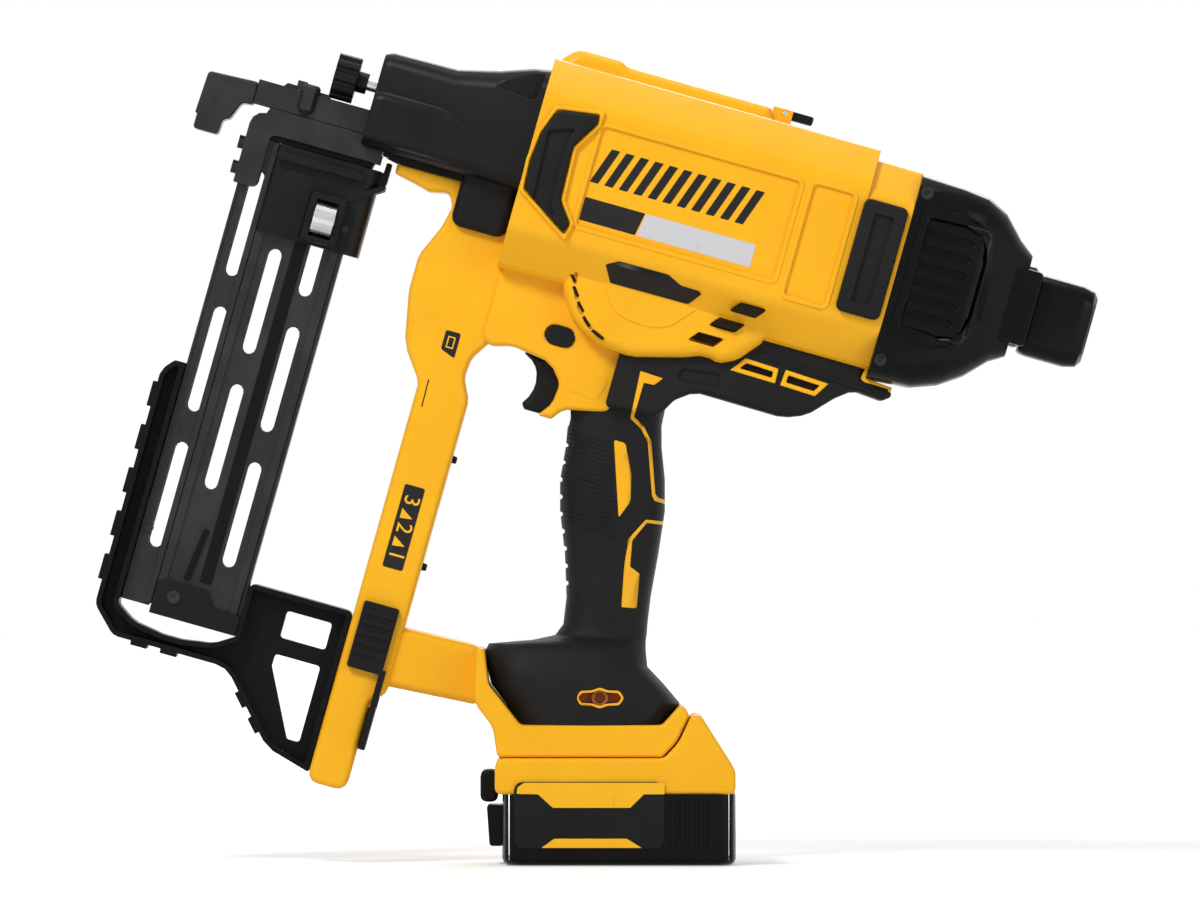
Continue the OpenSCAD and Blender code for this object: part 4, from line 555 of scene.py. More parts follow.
class Bench:
    """Modelling steps done with Blender's operators, as by hand."""

    smooth_below: ClassVar[float] = 38.0
    merge_within: ClassVar[float] = 0.004
    flat_within: ClassVar[float] = 0.4
    made: ClassVar[List[bpy.types.Object]] = []
    swollen: ClassVar[Dict[Tuple[str, float], bpy.types.Object]] = {}

    @staticmethod
    def focus(piece: Optional[bpy.types.Object] = None) -> None:
        """Leaves edit mode and selects nothing but the given piece.

        Args:
            piece: the piece, or None to select nothing.
        """
        if bpy.context.object and bpy.context.object.mode != "OBJECT":
            bpy.ops.object.mode_set(mode="OBJECT")
        bpy.ops.object.select_all(action="DESELECT")
        if piece is not None:
            piece.select_set(True)
            bpy.context.view_layer.objects.active = piece

    @classmethod
    def edit(cls, piece: bpy.types.Object) -> None:
        """Opens a piece in edit mode with everything selected.

        Args:
            piece: the piece.
        """
        cls.focus(piece)
        bpy.ops.object.mode_set(mode="EDIT")
        bpy.ops.mesh.select_all(action="SELECT")

    @staticmethod
    def close() -> None:
        """Turns all faces of the piece in edit mode outwards and leaves edit mode."""
        bpy.ops.mesh.select_all(action="SELECT")
        bpy.ops.mesh.normals_make_consistent(inside=False)
        bpy.ops.object.mode_set(mode="OBJECT")

    @staticmethod
    def apply_place() -> None:
        """Puts the place of the selected piece into its mesh."""
        bpy.ops.object.transform_apply(location=True, rotation=True, scale=True)

    @classmethod
    def settle(cls, piece: bpy.types.Object, place: Matrix) -> None:
        """Moves a piece and puts its place into its mesh.

        Args:
            piece: the piece.
            place: the matrix that moves it.
        """
        cls.focus(piece)
        piece.matrix_world = place
        cls.apply_place()

    @classmethod
    def finish(cls, piece: bpy.types.Object, width: float, segments: int = 2,
               angle: float = 40.0) -> None:
        """Rounds a piece's sharp edges and smooths the rest.

        Args:
            piece: the piece.
            width: width of the rounding in millimetres, or 0 for none.
            segments: faces across the rounding.
            angle: least angle of an edge that is rounded.
        """
        cls.focus(piece)
        if width > 0:
            soft = piece.modifiers.new("soft_edges", "BEVEL")
            soft.width = width * MM
            soft.segments = segments
            soft.limit_method = "ANGLE"
            soft.angle_limit = math.radians(angle)
            soft.miter_outer = "MITER_ARC"
            bpy.ops.object.modifier_apply(modifier=soft.name)
        bpy.ops.object.shade_smooth_by_angle(angle=math.radians(cls.smooth_below))
        even = piece.modifiers.new("even_normals", "WEIGHTED_NORMAL")
        even.keep_sharp = True
        bpy.ops.object.modifier_apply(modifier=even.name)

    @classmethod
    def outline(cls, name: str, points: Outline, y: float, corner: float) -> bpy.types.Object:
        """Draws a flat outline across Y.

        Args:
            name: the piece's name.
            points: corners in X and Z.
            y: where it lies along Y.
            corner: radius of its corners.

        Returns:
            A piece of one face, open in edit mode.
        """
        cls.focus()
        bpy.ops.mesh.primitive_circle_add(vertices=len(points), radius=1, fill_type="NGON")
        piece = bpy.context.object
        piece.name = piece.data.name = name
        for vertex, (x, z) in zip(piece.data.vertices, points):
            vertex.co = (x * MM, y * MM, z * MM)
        cls.edit(piece)
        if corner > 0:
            bpy.ops.mesh.bevel(offset=corner * MM, segments=4, affect="VERTICES")
            bpy.ops.mesh.select_all(action="SELECT")
        return piece

    @staticmethod
    def open_middle(wall: float) -> None:
        """Cuts the middle out of the outline in edit mode.

        Args:
            wall: width of the rim that stays, in millimetres.
        """
        bpy.ops.mesh.inset(thickness=wall * MM)
        bpy.ops.mesh.delete(type="FACE")
        bpy.ops.mesh.select_all(action="SELECT")

    @classmethod
    def draw_out(cls, depth: float) -> None:
        """Draws the outline in edit mode out along Y and closes it."""
        bpy.ops.mesh.extrude_region_move(TRANSFORM_OT_translate={"value": (0, depth * MM, 0)})
        cls.close()

    @classmethod
    def turned(cls, name: str, steps: Sequence[Point], place: Point,
               soft: float) -> bpy.types.Object:
        """Makes a turned piece on an axis along Z of the drive frame.

        Args:
            name: the piece's name.
            steps: radius and height of each ring, from the lowest.
            place: where the axis stands in X and Y.
            soft: rounding of its edges.

        Returns:
            The piece.
        """
        cls.focus()
        x, y = place[0] * MM, place[1] * MM
        radius, height = steps[0]
        bpy.ops.mesh.primitive_circle_add(vertices=24, radius=radius * MM, fill_type="NGON",
                                          location=(x, y, height * MM))
        piece = bpy.context.object
        piece.name = piece.data.name = name
        cls.apply_place()
        cls.edit(piece)
        for (r0, z0), (r1, z1) in zip(steps, steps[1:]):
            bpy.ops.mesh.extrude_region_move(
                TRANSFORM_OT_translate={"value": (0, 0, (z1 - z0) * MM)})
            bpy.ops.transform.resize(value=(r1 / r0, r1 / r0, 1), center_override=(x, y, z1 * MM))
        cls.close()
        cls.settle(piece, Stance.DRIVE.matrix())
        cls.finish(piece, soft)
        return piece

    @classmethod
    def from_node(cls, node: str, name: str) -> bpy.types.Object:
        """Makes a merged copy of a CAD node, with flat areas as single faces.

        Args:
            node: the CAD node.
            name: the copy's name.

        Returns:
            The copy.
        """
        cls.focus()
        piece = bpy.data.objects.new(name, frame["nodes"][node].data.copy())
        bpy.context.scene.collection.objects.link(piece)
        cls.edit(piece)
        bpy.ops.mesh.remove_doubles(threshold=cls.merge_within * MM)
        bpy.ops.mesh.customdata_custom_splitnormals_clear()
        bpy.ops.mesh.select_all(action="SELECT")
        bpy.ops.mesh.dissolve_limited(angle_limit=math.radians(cls.flat_within))
        bpy.ops.object.mode_set(mode="OBJECT")
        return piece

    @classmethod
    def swell(cls, node: str, lift: float) -> bpy.types.Object:
        """Makes a grown copy of a CAD node, which is kept for further use.

        Args:
            node: the CAD node.
            lift: how far it is grown, in millimetres.

        Returns:
            The copy.
        """
        if (node, lift) not in cls.swollen:
            piece = cls.from_node(node, f"grown_{node}")
            grow = piece.modifiers.new("grow", "DISPLACE")
            grow.strength = lift * MM
            grow.mid_level = 0
            cls.focus(piece)
            bpy.ops.object.modifier_apply(modifier=grow.name)
            cls.swollen[(node, lift)] = piece
        return cls.swollen[(node, lift)]

    @classmethod
    def clear_swollen(cls) -> None:
        """Removes the grown copies."""
        for piece in cls.swollen.values():
            bpy.data.objects.remove(piece)
        cls.swollen.clear()

    @classmethod
    def overlay(cls, piece: bpy.types.Object, node: str, lift: float) -> None:
        """Keeps of a drawn-out piece what lies within a node's grown form.

        Args:
            piece: the drawn-out piece, which reaches into the node.
            node: the CAD node whose surface it follows.
            lift: height above that surface in millimetres.
        """
        form = cls.swell(node, lift)
        cls.focus(piece)
        fit = piece.modifiers.new("fit", "BOOLEAN")
        fit.operation = "INTERSECT"
        fit.solver = "EXACT"
        fit.object = form
        bpy.ops.object.modifier_apply(modifier=fit.name)
        cls.finish(piece, 0)

    @classmethod
    def repeat(cls, piece: bpy.types.Object, count: int, step: Point) -> None:
        """Makes a row of a piece, all in its mesh.

        Args:
            piece: the piece.
            count: how many there are in the row.
            step: from one to the next, in X and Z.
        """
        cls.focus(piece)
        row = piece.modifiers.new("row", "ARRAY")
        row.count = count
        row.use_relative_offset = False
        row.use_constant_offset = True
        row.constant_offset_displace = (step[0] * MM, 0, step[1] * MM)
        bpy.ops.object.modifier_apply(modifier=row.name)

    @classmethod
    def mirrored(cls, piece: bpy.types.Object, name: str) -> bpy.types.Object:
        """Makes a copy on the other side of the tool, with its own mesh.

        Args:
            piece: the piece.
            name: the copy's name.

        Returns:
            The copy.
        """
        twin = bpy.data.objects.new(name, piece.data.copy())
        bpy.context.scene.collection.objects.link(twin)
        cls.focus(twin)
        twin.scale = (1, -1, 1)
        bpy.ops.object.transform_apply(location=False, rotation=False, scale=True)
        cls.edit(twin)
        cls.close()
        return twin

    @classmethod
    def hand_over(cls, piece: bpy.types.Object, body: str, finish: Coat,
                  slot: Optional[Slot] = None, replaces: Sequence[str] = ()) -> None:
        """Dresses a finished piece and lets it ride on a body.

        Args:
            piece: the piece.
            body: the CAD body that carries it.
            finish: its finish.
            slot: the record's material slot of that finish; not used.
            replaces: CAD nodes that it stands for.
        """
        piece.data.materials.clear()
        piece.data.materials.append(finish.material())
        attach(piece, body)
        if replaces:
            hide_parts(*replaces)
        cls.made.append(piece)
        LOG.info("piece %s on %s, %d faces", piece.name, body, len(piece.data.polygons))

    @classmethod
    def pair(cls, piece: bpy.types.Object, body: str, finish: Coat,
             slot: Optional[Slot]) -> None:
        """Hands over a left-hand piece and its right-hand twin.

        Args:
            piece: the left-hand piece, which is renamed.
            body: the CAD body that carries both.
            finish: their finish.
            slot: the record's material slot of that finish.
        """
        stem = piece.name
        piece.name = piece.data.name = stem + "_left"
        twin = cls.mirrored(piece, stem + "_right")
        cls.hand_over(piece, body, finish, slot)
        cls.hand_over(twin, body, finish, slot)


@dataclass(frozen=True)
class Trim:
    """A plate or rim of any outline, with its place and its finish.

    Attributes:
        name: the piece's name, without the side.
        points: corners in X and Z.
        near: where it starts along Y.
        far: where it ends along Y.
        finish: its finish.
        slot: the record's material slot of that finish.
        body: the CAD body that carries it.
        spread: whether it has a twin.
        stance: the frame of the outline.
        corner: radius of the outline's corners.
        soft: rounding of its edges.
        wall: width of a rim, or 0 for a full plate.
        count: how many there are in a row.
        step: from one of the row to the next, in X and Z.
        node: CAD node whose surface it follows.
        lift: its height above that surface.
    """

    plate_steps: ClassVar[int] = 2
    rim_steps: ClassVar[int] = 3
    film_root: ClassVar[float] = 0.05
    film_soft: ClassVar[float] = 0.04

    name: str
    points: Outline
    near: float
    far: float
    finish: Coat
    slot: Optional[Slot] = None
    body: str = "body"
    spread: Spread = Spread.BOTH_SIDES
    stance: Stance = Stance.DRIVE
    corner: float = 0.0
    soft: float = 0.15
    wall: float = 0.0
    count: int = 1
    step: Point = (0.0, 0.0)
    node: Optional[str] = None
    lift: float = 0.0

    @classmethod
    def across(cls, name: str, points: Outline, half: float, finish: Coat, slot: Slot,
               **more: Any) -> "Trim":
        """Returns a plate of twice a half width that lies across the tool's middle."""
        return cls(name, points, -half, half, finish, slot, spread=Spread.ONCE, **more)

    @classmethod
    def film(cls, name: str, points: Outline, face: float, thickness: float, finish: Coat,
             **more: Any) -> "Trim":
        """Returns a film on a face, in which it is rooted."""
        fields = {"soft": cls.film_soft, **more}
        return cls(name, points, face + cls.film_root, face - thickness, finish, **fields)

    def shape(self) -> bpy.types.Object:
        """Returns the plate, rim or row, before it is fitted to a node."""
        piece = Bench.outline(self.name, self.points, self.near, self.corner)
        if self.wall > 0:
            Bench.open_middle(self.wall)
        Bench.draw_out(self.far - self.near)
        Bench.settle(piece, self.stance.matrix())
        Bench.finish(piece, self.soft, self.rim_steps if self.wall > 0 else self.plate_steps)
        if self.count > 1:
            Bench.repeat(piece, self.count, self.step)
        return piece

    def build(self) -> None:
        """Makes the piece, and its twin where it has one, and hands it over."""
        piece = self.shape()
        if self.node:
            Bench.overlay(piece, self.node, self.lift)
        if self.spread is Spread.BOTH_SIDES:
            Bench.pair(piece, self.body, self.finish, self.slot)
        else:
            Bench.hand_over(piece, self.body, self.finish, self.slot)


@dataclass
class Shells:
    """Moulded and formed CAD nodes whose edges are rounded and whose curves are smoothed."""

    rounding: Dict[str, float] = field(default_factory=lambda: {
        "housing_left": 0.5, "housing_right": 0.5, "nose_cover": 0.7, "rear_cap": 0.6,
        "tail_cover": 0.6, "grip_left": 0.4, "grip_right": 0.4, "front_side_pads": 0.3,
        "rear_side_pads": 0.4, "trigger": 0.3, "battery_shell": 0.4, "battery_case": 0.6,
        "battery_button": 0.3, "foot_frame": 0.4, "magazine_latch": 0.4,
        "pusher_carriage": 0.5, "magazine_end_cap": 0.4, "depth_wheel": 0.5,
        "lock_button": 0.8, "stall_lever": 0.4, "contact_trip_foot": 0.4,
        "contact_trip_arm": 0.4, "nose_bracket": 0.4, "front_rail": 0.3,
        "magazine_left_plate": 0.3, "magazine_right_plate": 0.3, "magazine_spine": 0.3,
        "nosepiece": 0.3,
    })
    steps: int = 2
    rounded_from: float = 45.0

    @staticmethod
    def slots() -> Dict[str, Slot]:
        """Returns the material slot of each CAD node."""
        return {row["node"]: Slot(row["material_slot"]) for row in frame["record"]["subparts"]}

    @staticmethod
    def finish(node: str, slot: Slot) -> Coat:
        """Returns a node's own finish, or else that of its slot."""
        return NODE_FINISHES.get(node, SLOT_FINISHES[slot])

    def build(self) -> None:
        """Makes each shell, lets it stand for its node, and dresses the other nodes."""
        slots = self.slots()
        bodies = {node: body for body, nodes in frame["record"]["behaviour"]["bodies"].items()
                  for node in nodes}
        for node, width in self.rounding.items():
            piece = Bench.from_node(node, node + "_form")
            Bench.finish(piece, width, self.steps, self.rounded_from)
            slot = slots[node]
            Bench.hand_over(piece, bodies[node], self.finish(node, slot), slot, [node])
        for node, slot in slots.items():
            skin = frame["nodes"][node].data.materials
            skin.clear()
            skin.append(self.finish(node, slot).material())


@dataclass
class BarrelMarks:
    """Prints, panels and vents on the sides of the barrel, in the drive frame.

    The first three fields are the Y of the label panel's floor, of the barrel's side and of
    the drum's side.
    """

    floor: float = -44.8
    skin: float = -46.0
    drum: float = -33.9
    film: float = 0.12
    band_x: Point = (31.0, 114.0)
    band_z: Point = (3.4, 20.6)
    bars: int = 11
    bar_share: float = 0.58
    lean: float = 6.0
    dark: Outline = ((31, -15), (58, -15), (60, -4), (31, -4))
    pale: Outline = ((58.6, -15), (113.6, -15), (113.6, -4), (60.6, -4))
    shield: Outline = (
        (44, -28.5), (50.5, -41), (55.5, -49), (61, -53), (69.5, -54.6), (79, -54.2),
        (85.5, -51.4), (91, -45.5), (103, -31), (96, -28.5), (84, -27.5), (78, -26.6),
        (54, -26.6))
    shield_y: Point = (-28.0, -34.5)
    face: Outline = (
        (48.6, -31.8), (54.3, -28.7), (78.1, -28.5), (85.1, -31.8), (94.1, -32.0),
        (95.4, -33.2), (90.7, -39.2), (53, -39.4))
    face_y: Point = (-26.0, -50.0)
    face_lift: float = 0.3
    dash_ends: Tuple[Tuple[Point, Point], ...] = (
        ((33.9, -39.4), (37.0, -43.4)), ((37.0, -45.5), (40.4, -49.7)),
        ((40.9, -51.8), (44.6, -55.8)), ((45.2, -57.8), (49.2, -61.7)),
        ((50.8, -62.9), (57.0, -65.5)))
    dash_half: float = 0.75
    mouths: Tuple[Tuple[float, Outline], ...] = (
        (-43.5, ((114.6, -32.2), (125.5, -32.3), (122.3, -37.1), (110.3, -36.9))),
        (-36.5, ((106.6, -42.1), (117.8, -42.4), (114.6, -45.5), (104.0, -45.0))),
        (-30.5, ((99.3, -50.6), (110.1, -50.7), (107.0, -54.1), (96.5, -54.0))))
    mouth_back: float = -27.0
    label_panel: Outline = oblong(28, -20, 128, 32)
    rib_panel: Outline = oblong(130, -25, 154, 33)
    lip_wall: float = 2.2
    lip_height: float = 0.5
    front_pad: Outline = (
        (2.0, 5.5), (2.75, -8.18), (25.75, -23.0), (27.0, -17.87), (20.0, -8.75), (19.0, 16.9),
        (27.0, 30.0), (27.0, 34.0), (8.0, 31.15), (3.5, 19.18))
    collar_gap: float = 2.3
    collar_wall: float = 1.9
    collar_height: float = 2.4
    root: float = 0.6
    nose_slot: Outline = ((-5.6, 41), (-4.9, 33.6), (-3.9, 33.6), (-4.6, 41))
    nose_slot_y: Point = (-20.0, -45.0)
    nose_slot_lift: float = 0.06

    def build(self) -> None:
        """Makes the prints and forms of both sides."""
        self.hatch()
        for name, points, finish in (("plate_dark", self.dark, INK),
                                     ("plate_pale", self.pale, PALE)):
            Trim.film(name, points, self.floor, self.film, finish, corner=0.4).build()
        self.badge()
        self.dashes()
        # Dark plates of painted shade in the vents' mouths.
        for i, (far, points) in enumerate(self.mouths):
            Trim(f"vent_mouth_{i + 1}", points, self.mouth_back, far, VOID,
                 corner=0.5, soft=0.2).build()
        self.lips()

    def hatch(self) -> None:
        """Makes a plain band of slanted bars."""
        start, end = self.band_x
        low, high = self.band_z
        step = (end - start - self.lean) / self.bars
        width = step * self.bar_share
        for i in range(self.bars):
            x = start + i * step
            points = ((x, low), (x + width, low), (x + width + self.lean, high),
                      (x + self.lean, high))
            Trim.film(f"band_bar_{i + 1}", points, self.floor, self.film, INK, corner=0.3).build()

    def badge(self) -> None:
        """Makes the rounded shield on the drum and its angular black face."""
        Trim("badge_shield", self.shield, *self.shield_y, YELLOW, Slot.YELLOW,
             corner=2.0, soft=0.5).build()
        Trim("badge_face", self.face, *self.face_y, INK, corner=0.6, soft=0,
             node="housing_left", lift=self.face_lift).build()

    def dashes(self) -> None:
        """Makes the row of dark dashes down the front of the drum."""
        for i, (a, b) in enumerate(self.dash_ends):
            run = Vector((b[0] - a[0], b[1] - a[1])).normalized() * self.dash_half
            x, z = -run[1], run[0]
            points = ((a[0] + x, a[1] + z), (a[0] - x, a[1] - z),
                      (b[0] - x, b[1] - z), (b[0] + x, b[1] + z))
            Trim.film(f"drum_dash_{i + 1}", points, self.drum, self.film, VOID).build()

    def lips(self) -> None:
        """Makes the lips of the two panels, the front pad's collar and the nose's slot, a dark
        strip of painted shade.
        """
        root = self.skin + self.root
        for name, points in (("label_lip", self.label_panel), ("rib_panel_lip", self.rib_panel)):
            Trim(name, points, root, self.skin - self.lip_height, YELLOW, Slot.YELLOW,
                 corner=4.0, soft=0.45, wall=self.lip_wall).build()
        Trim("front_pad_collar", grown(self.front_pad, self.collar_gap), root,
             self.skin - self.collar_height, YELLOW, Slot.YELLOW, soft=0.7,
             wall=self.collar_wall).build()
        # Painted shade: a dark strip for the nose's slot.
        Trim("nose_slot", self.nose_slot, *self.nose_slot_y, VOID, soft=0,
             node="nose_cover", lift=self.nose_slot_lift).build()


@dataclass
class StrutMarks:
    """Depth scale, charge plate and stops on the strut, in the drive frame."""

    skin: float = -17.0
    film: float = 0.15
    ink_root: float = 0.03
    ink_height: float = 0.06
    scale: Outline = oblong(-14, -195.5, -4.2, -155.5)
    digits: Tuple[Tuple[str, float], ...] = (("3", -162.5), ("2", -175.8), ("1", -189.0))
    digit_x: float = -9.1
    digit_size: float = 10.5
    digit_half: float = 0.05
    digit_lift: float = 0.02
    arrow: Outline = ((-12.2, 2.4), (-12.2, -2.4), (-6.2, -1.6))
    arrow_heights: Point = (-169.2, -182.6)
    charge: Outline = ((-15, -90.3), (-7.8, -93), (-7.8, -81), (-15, -81))
    charge_mark: Outline = oblong(-13.2, -89, -9.6, -83.4)
    mark_wall: float = 0.6
    stop: Outline = ((2.5, -2), (6.2, -1.8), (6.2, 1.4), (2.5, 2))
    stop_heights: Point = (-138.6, -190.8)
    stop_half: float = 5.0
    slit: Outline = ((-16.9, -105.7), (-16.6, -118.8), (-16.0, -118.8), (-16.3, -105.7))
    slit_height: float = 0.03

    def build(self) -> None:
        """Makes the marks; the scale and the charge plate are on the left side only."""
        self.plate("depth_scale_plate", self.scale)
        for text, z in self.digits:
            self.digit(text, z)
        for i, z in enumerate(self.arrow_heights):
            self.print_on(f"depth_scale_arrow_{i + 1}", raised(self.arrow, z))
        self.plate("charge_plate", self.charge)
        self.print_on("charge_mark", self.charge_mark, self.mark_wall)
        for i, z in enumerate(self.stop_heights):
            Trim.across(f"strut_stop_{i + 1}", raised(self.stop, z), self.stop_half, BLACK,
                        Slot.BLACK, corner=0.6, soft=0.4).build()
        # Painted shade: a dark strip for the slit in the strut.
        Trim.film("strut_slit", self.slit, self.skin, self.slit_height, VOID, soft=0).build()

    def plate(self, name: str, points: Outline) -> None:
        """Sticks a black plate on the strut."""
        Trim.film(name, points, self.skin, self.film, INK, spread=Spread.ONCE,
                  corner=1.0, soft=0.05).build()

    def print_on(self, name: str, points: Outline, wall: float = 0.0) -> None:
        """Prints a yellow mark on a plate.

        Args:
            name: the mark's name.
            points: corners in X and Z.
            wall: width of its line, or 0 for a filled mark.
        """
        top = self.skin - self.film
        Trim(name, points, top + self.ink_root, top - self.ink_height, GOLD, spread=Spread.ONCE,
             soft=0.02, wall=wall).build()

    def digit(self, text: str, z: float) -> None:
        """Makes one plain digit of the depth scale, turned to read along the strut.

        Args:
            text: the digit.
            z: the height of its middle.
        """
        Bench.focus()
        bpy.ops.object.text_add()
        piece = bpy.context.object
        piece.name = "depth_digit_" + text
        piece.data.body = text
        piece.data.size = self.digit_size * MM
        piece.data.align_x = "CENTER"
        piece.data.align_y = "CENTER"
        piece.data.extrude = self.digit_half * MM
        bpy.ops.object.convert(target="MESH")
        lay = Matrix.Rotation(math.radians(90), 4, "X")
        spin = Matrix.Rotation(math.radians(90), 4, "Y")
        y = self.skin - self.film - self.digit_lift
        place = Matrix.Translation((self.digit_x * MM, y * MM, z * MM))
        piece = bpy.context.object
        Bench.settle(piece, Stance.DRIVE.matrix() @ place @ spin @ lay)
        Bench.hand_over(piece, "body", GOLD)


@dataclass
class HandleInlays:
    """Inlays and ribs of the handle, forms of the belly, and the belt hook's socket."""

    inlay_y: Point = (-4.0, -40.0)
    upper: Outline = (
        (21.0, 230.7), (31.6, 227.2), (27.4, 224.1), (22.6, 225.2), (18.0, 209.4),
        (22.8, 204.6), (26.1, 197.9), (28.0, 173.2), (29.0, 171.6), (34.3, 169.6),
        (34.0, 168.0), (27.6, 169.9), (26.4, 172.6), (24.4, 197.4), (21.4, 203.6),
        (16.2, 208.6))
    plate: Outline = ((8.6, 198.6), (14.0, 197.0), (16.8, 182.3), (16.3, 169.6), (10.8, 162.0))
    lower: Outline = (
        (34.0, 158.4), (24.0, 159.6), (17.2, 151.4), (16.2, 139.2), (20.6, 135.9),
        (19.3, 119.7), (12.1, 120.2), (13.4, 139.4), (15.4, 152.2), (23.6, 161.2),
        (34.2, 160.0))
    inlay_lift: float = 0.25
    rib: Outline = ((-13.5, 159.2), (9.2, 152.8), (9.2, 153.8), (-13.5, 160.2))
    rib_count: int = 22
    rib_step: Point = (-0.11, 2.1)
    rib_lift: float = 0.32
    vents: Tuple[Outline, ...] = (
        ((119.8, -62.4), (138.8, -62.7), (138.6, -57.6), (123.9, -57.0)),
        ((143.4, -62.9), (158.8, -63.4), (162.2, -58.0), (143.9, -57.2)))
    vent_gap: float = 1.0
    vent_wall: float = 2.1
    vent_frame_y: Point = (-22.5, -27.5)
    vent_mouth_y: Point = (-21.5, -24.6)
    lip: Outline = (
        (177.4, -52.4), (193.0, -53.2), (193.0, -50.8), (180.1, -49.8), (180.1, -45.6),
        (178.5, -45.6))
    lip_half: float = 26.2
    ledge: Outline = ((128, -53.6), (184.4, -56.1), (184.4, -54.5), (128, -52.0))
    ledge_y: Point = (-8.0, -40.0)
    ledge_lift: float = 0.7
    hook: Outline = (
        (-8.9, 78.0), (-7.2, 81.4), (-1.6, 81.6), (2, 83.0), (5.6, 81.6), (11.2, 81.4),
        (13.4, 78.0), (11.2, 74.6), (5.6, 74.4), (2, 73.0), (-1.6, 74.4), (-7.2, 74.6))
    hook_wall: float = 1.1
    hook_y: Point = (-20.0, -40.0)
    hook_lift: float = 0.5
    # The plate of painted shade inside the socket, and where it lies along Y.
    recess_shade: Outline = oblong(-8.0, 75.8, 12.0, 80.2)
    recess_shade_y: Point = (-28.8, -29.6)
    hook_hole: Outline = disc(2, 78, 2.3)
    hook_hole_y: Point = (-19.5, -22.0)

    def build(self) -> None:
        """Makes the inlays, the ribs, the belly's forms and the socket on both sides."""
        for name, points, corner in (("handle_line_upper", self.upper, 0.5),
                                     ("handle_plate", self.plate, 1.2),
                                     ("handle_line_lower", self.lower, 0.5)):
            Trim(name, points, *self.inlay_y, YELLOW, Slot.YELLOW, stance=Stance.STANDING,
                 corner=corner, soft=0, node="grip_left", lift=self.inlay_lift).build()
        Trim("grip_ribs", self.rib, *self.inlay_y, RUBBER, Slot.RUBBER, stance=Stance.STANDING,
             soft=0, count=self.rib_count, step=self.rib_step, node="grip_left",
             lift=self.rib_lift).build()
        self.belly()
        self.hook_socket()

    def belly(self) -> None:
        """Makes the two framed vents of the belly with dark plates of painted shade in their
        mouths, its rear lip and its ledge.
        """
        for i, points in enumerate(self.vents):
            Trim(f"belly_vent_frame_{i + 1}", grown(points, self.vent_gap), *self.vent_frame_y,
                 YELLOW, Slot.YELLOW, soft=0.45, wall=self.vent_wall).build()
            # A dark plate of painted shade in the vent's mouth.
            Trim(f"belly_vent_mouth_{i + 1}", points, *self.vent_mouth_y, VOID,
                 corner=1.0).build()
        Trim.across("belly_rear_lip", self.lip, self.lip_half, YELLOW, Slot.YELLOW,
                    soft=0.3).build()
        Trim("belly_ledge", self.ledge, *self.ledge_y, RUBBER, Slot.RUBBER, soft=0,
             node="grip_left", lift=self.ledge_lift).build()

    def hook_socket(self) -> None:
        """Makes the yellow frame of the belt hook's socket, a dark orange plate of painted shade
        inside it, and its hole with a floor painted dark as shade.
        """
        Trim("hook_frame", self.hook, *self.hook_y, YELLOW, Slot.YELLOW, stance=Stance.STANDING,
             corner=1.2, soft=0, wall=self.hook_wall, node="grip_left",
             lift=self.hook_lift).build()
        # Painted shade: a dark orange plate for the yellow inside of the socket in shade.
        Trim("hook_recess_shade", self.recess_shade, *self.recess_shade_y, SHADED_YELLOW, stance=Stance.STANDING,
             corner=2.1).build()
        # Painted shade: a dark disc on the floor of the hook's hole.
        Trim("hook_hole_floor", self.hook_hole, *self.hook_hole_y, VOID,
             stance=Stance.STANDING).build()


@dataclass
class CapForms:
    """Raised forms of the rear cap and of the guide beside the trigger, in the drive frame."""

    hoop: Outline = (
        (184.0, -28.5), (206.0, -28.5), (216.0, -25.5), (221.5, -19.0), (224.0, -10.0),
        (224.0, 17.0), (222.0, 25.0), (217.0, 32.0), (206.0, 35.8), (184.0, 34.6))
    hoop_wall: float = 4.6
    hoop_y: Point = (-15.0, -60.0)
    hoop_lift: float = 1.5
    neck: Outline = oblong(222, -16.0, 247.4, 20.0)
    neck_half: float = 27.0
    sleeve: Outline = oblong(29.8, -74.2, 44.2, -64.8)
    sleeve_half: float = 17.0
    stipple: Outline = ((47, -93), (62, -94), (65, -83), (50, -82))
    stipple_y: Point = (-19.9, -20.12)

    def build(self) -> None:
        """Makes the grille's hoop, the tail's neck, the button's sleeve and the stipple."""
        Trim("cap_hoop", self.hoop, *self.hoop_y, GLOSSY_SHADED_BLACK, Slot.BLACK, soft=0,
             wall=self.hoop_wall, node="rear_cap", lift=self.hoop_lift).build()
        Trim.across("tail_neck", self.neck, self.neck_half, GLOSSY_SHADED_BLACK, Slot.BLACK,
                    corner=2.5, soft=1.4).build()
        Trim.across("lock_sleeve", self.sleeve, self.sleeve_half, BLACK, Slot.BLACK, body="lock",
                    corner=4.6).build()
        Trim("trigger_stipple", self.stipple, *self.stipple_y, STIPPLE, Slot.YELLOW,
             corner=2.0, soft=0.05).build()


@dataclass
class MagazineTrim:
    """Flange, ridge and channel of the staple rail and its drawer, and the end cap's lever."""

    bars: Tuple[Tuple[str, Outline, float, str, Coat], ...] = (
        ("rail_flange", oblong(-116.6, -242.0, -113.7, -18.0), -9.7, "body", SHEET),
        ("rail_ridge", oblong(-127.9, -242.0, -126.8, -43.0), -9.8, "body", SHEET),
        ("drawer_channel", oblong(-94.4, -226.0, -88.8, -20.0), -9.6, "drawer", SHADE_DARKENED_BLACK))
    flank: float = -8.6
    lever: Outline = ((-193.2, 133.4), (-190.4, 132.4), (-180.8, 156.0), (-183.2, 157.0))
    lever_y: Point = (-8.7, -10.9)

    def build(self) -> None:
        """Makes the long bars in the drive frame and the lever in the standing frame."""
        for name, points, far, body, finish in self.bars:
            Trim(name, points, self.flank, far, finish, Slot.DARK_STEEL, body=body,
                 soft=0.25).build()
        Trim("end_cap_lever", self.lever, *self.lever_y, SHADE_DARKENED_BLACK, Slot.BLACK, body="drawer",
             spread=Spread.ONCE, stance=Stance.STANDING, corner=0.8, soft=0.3).build()


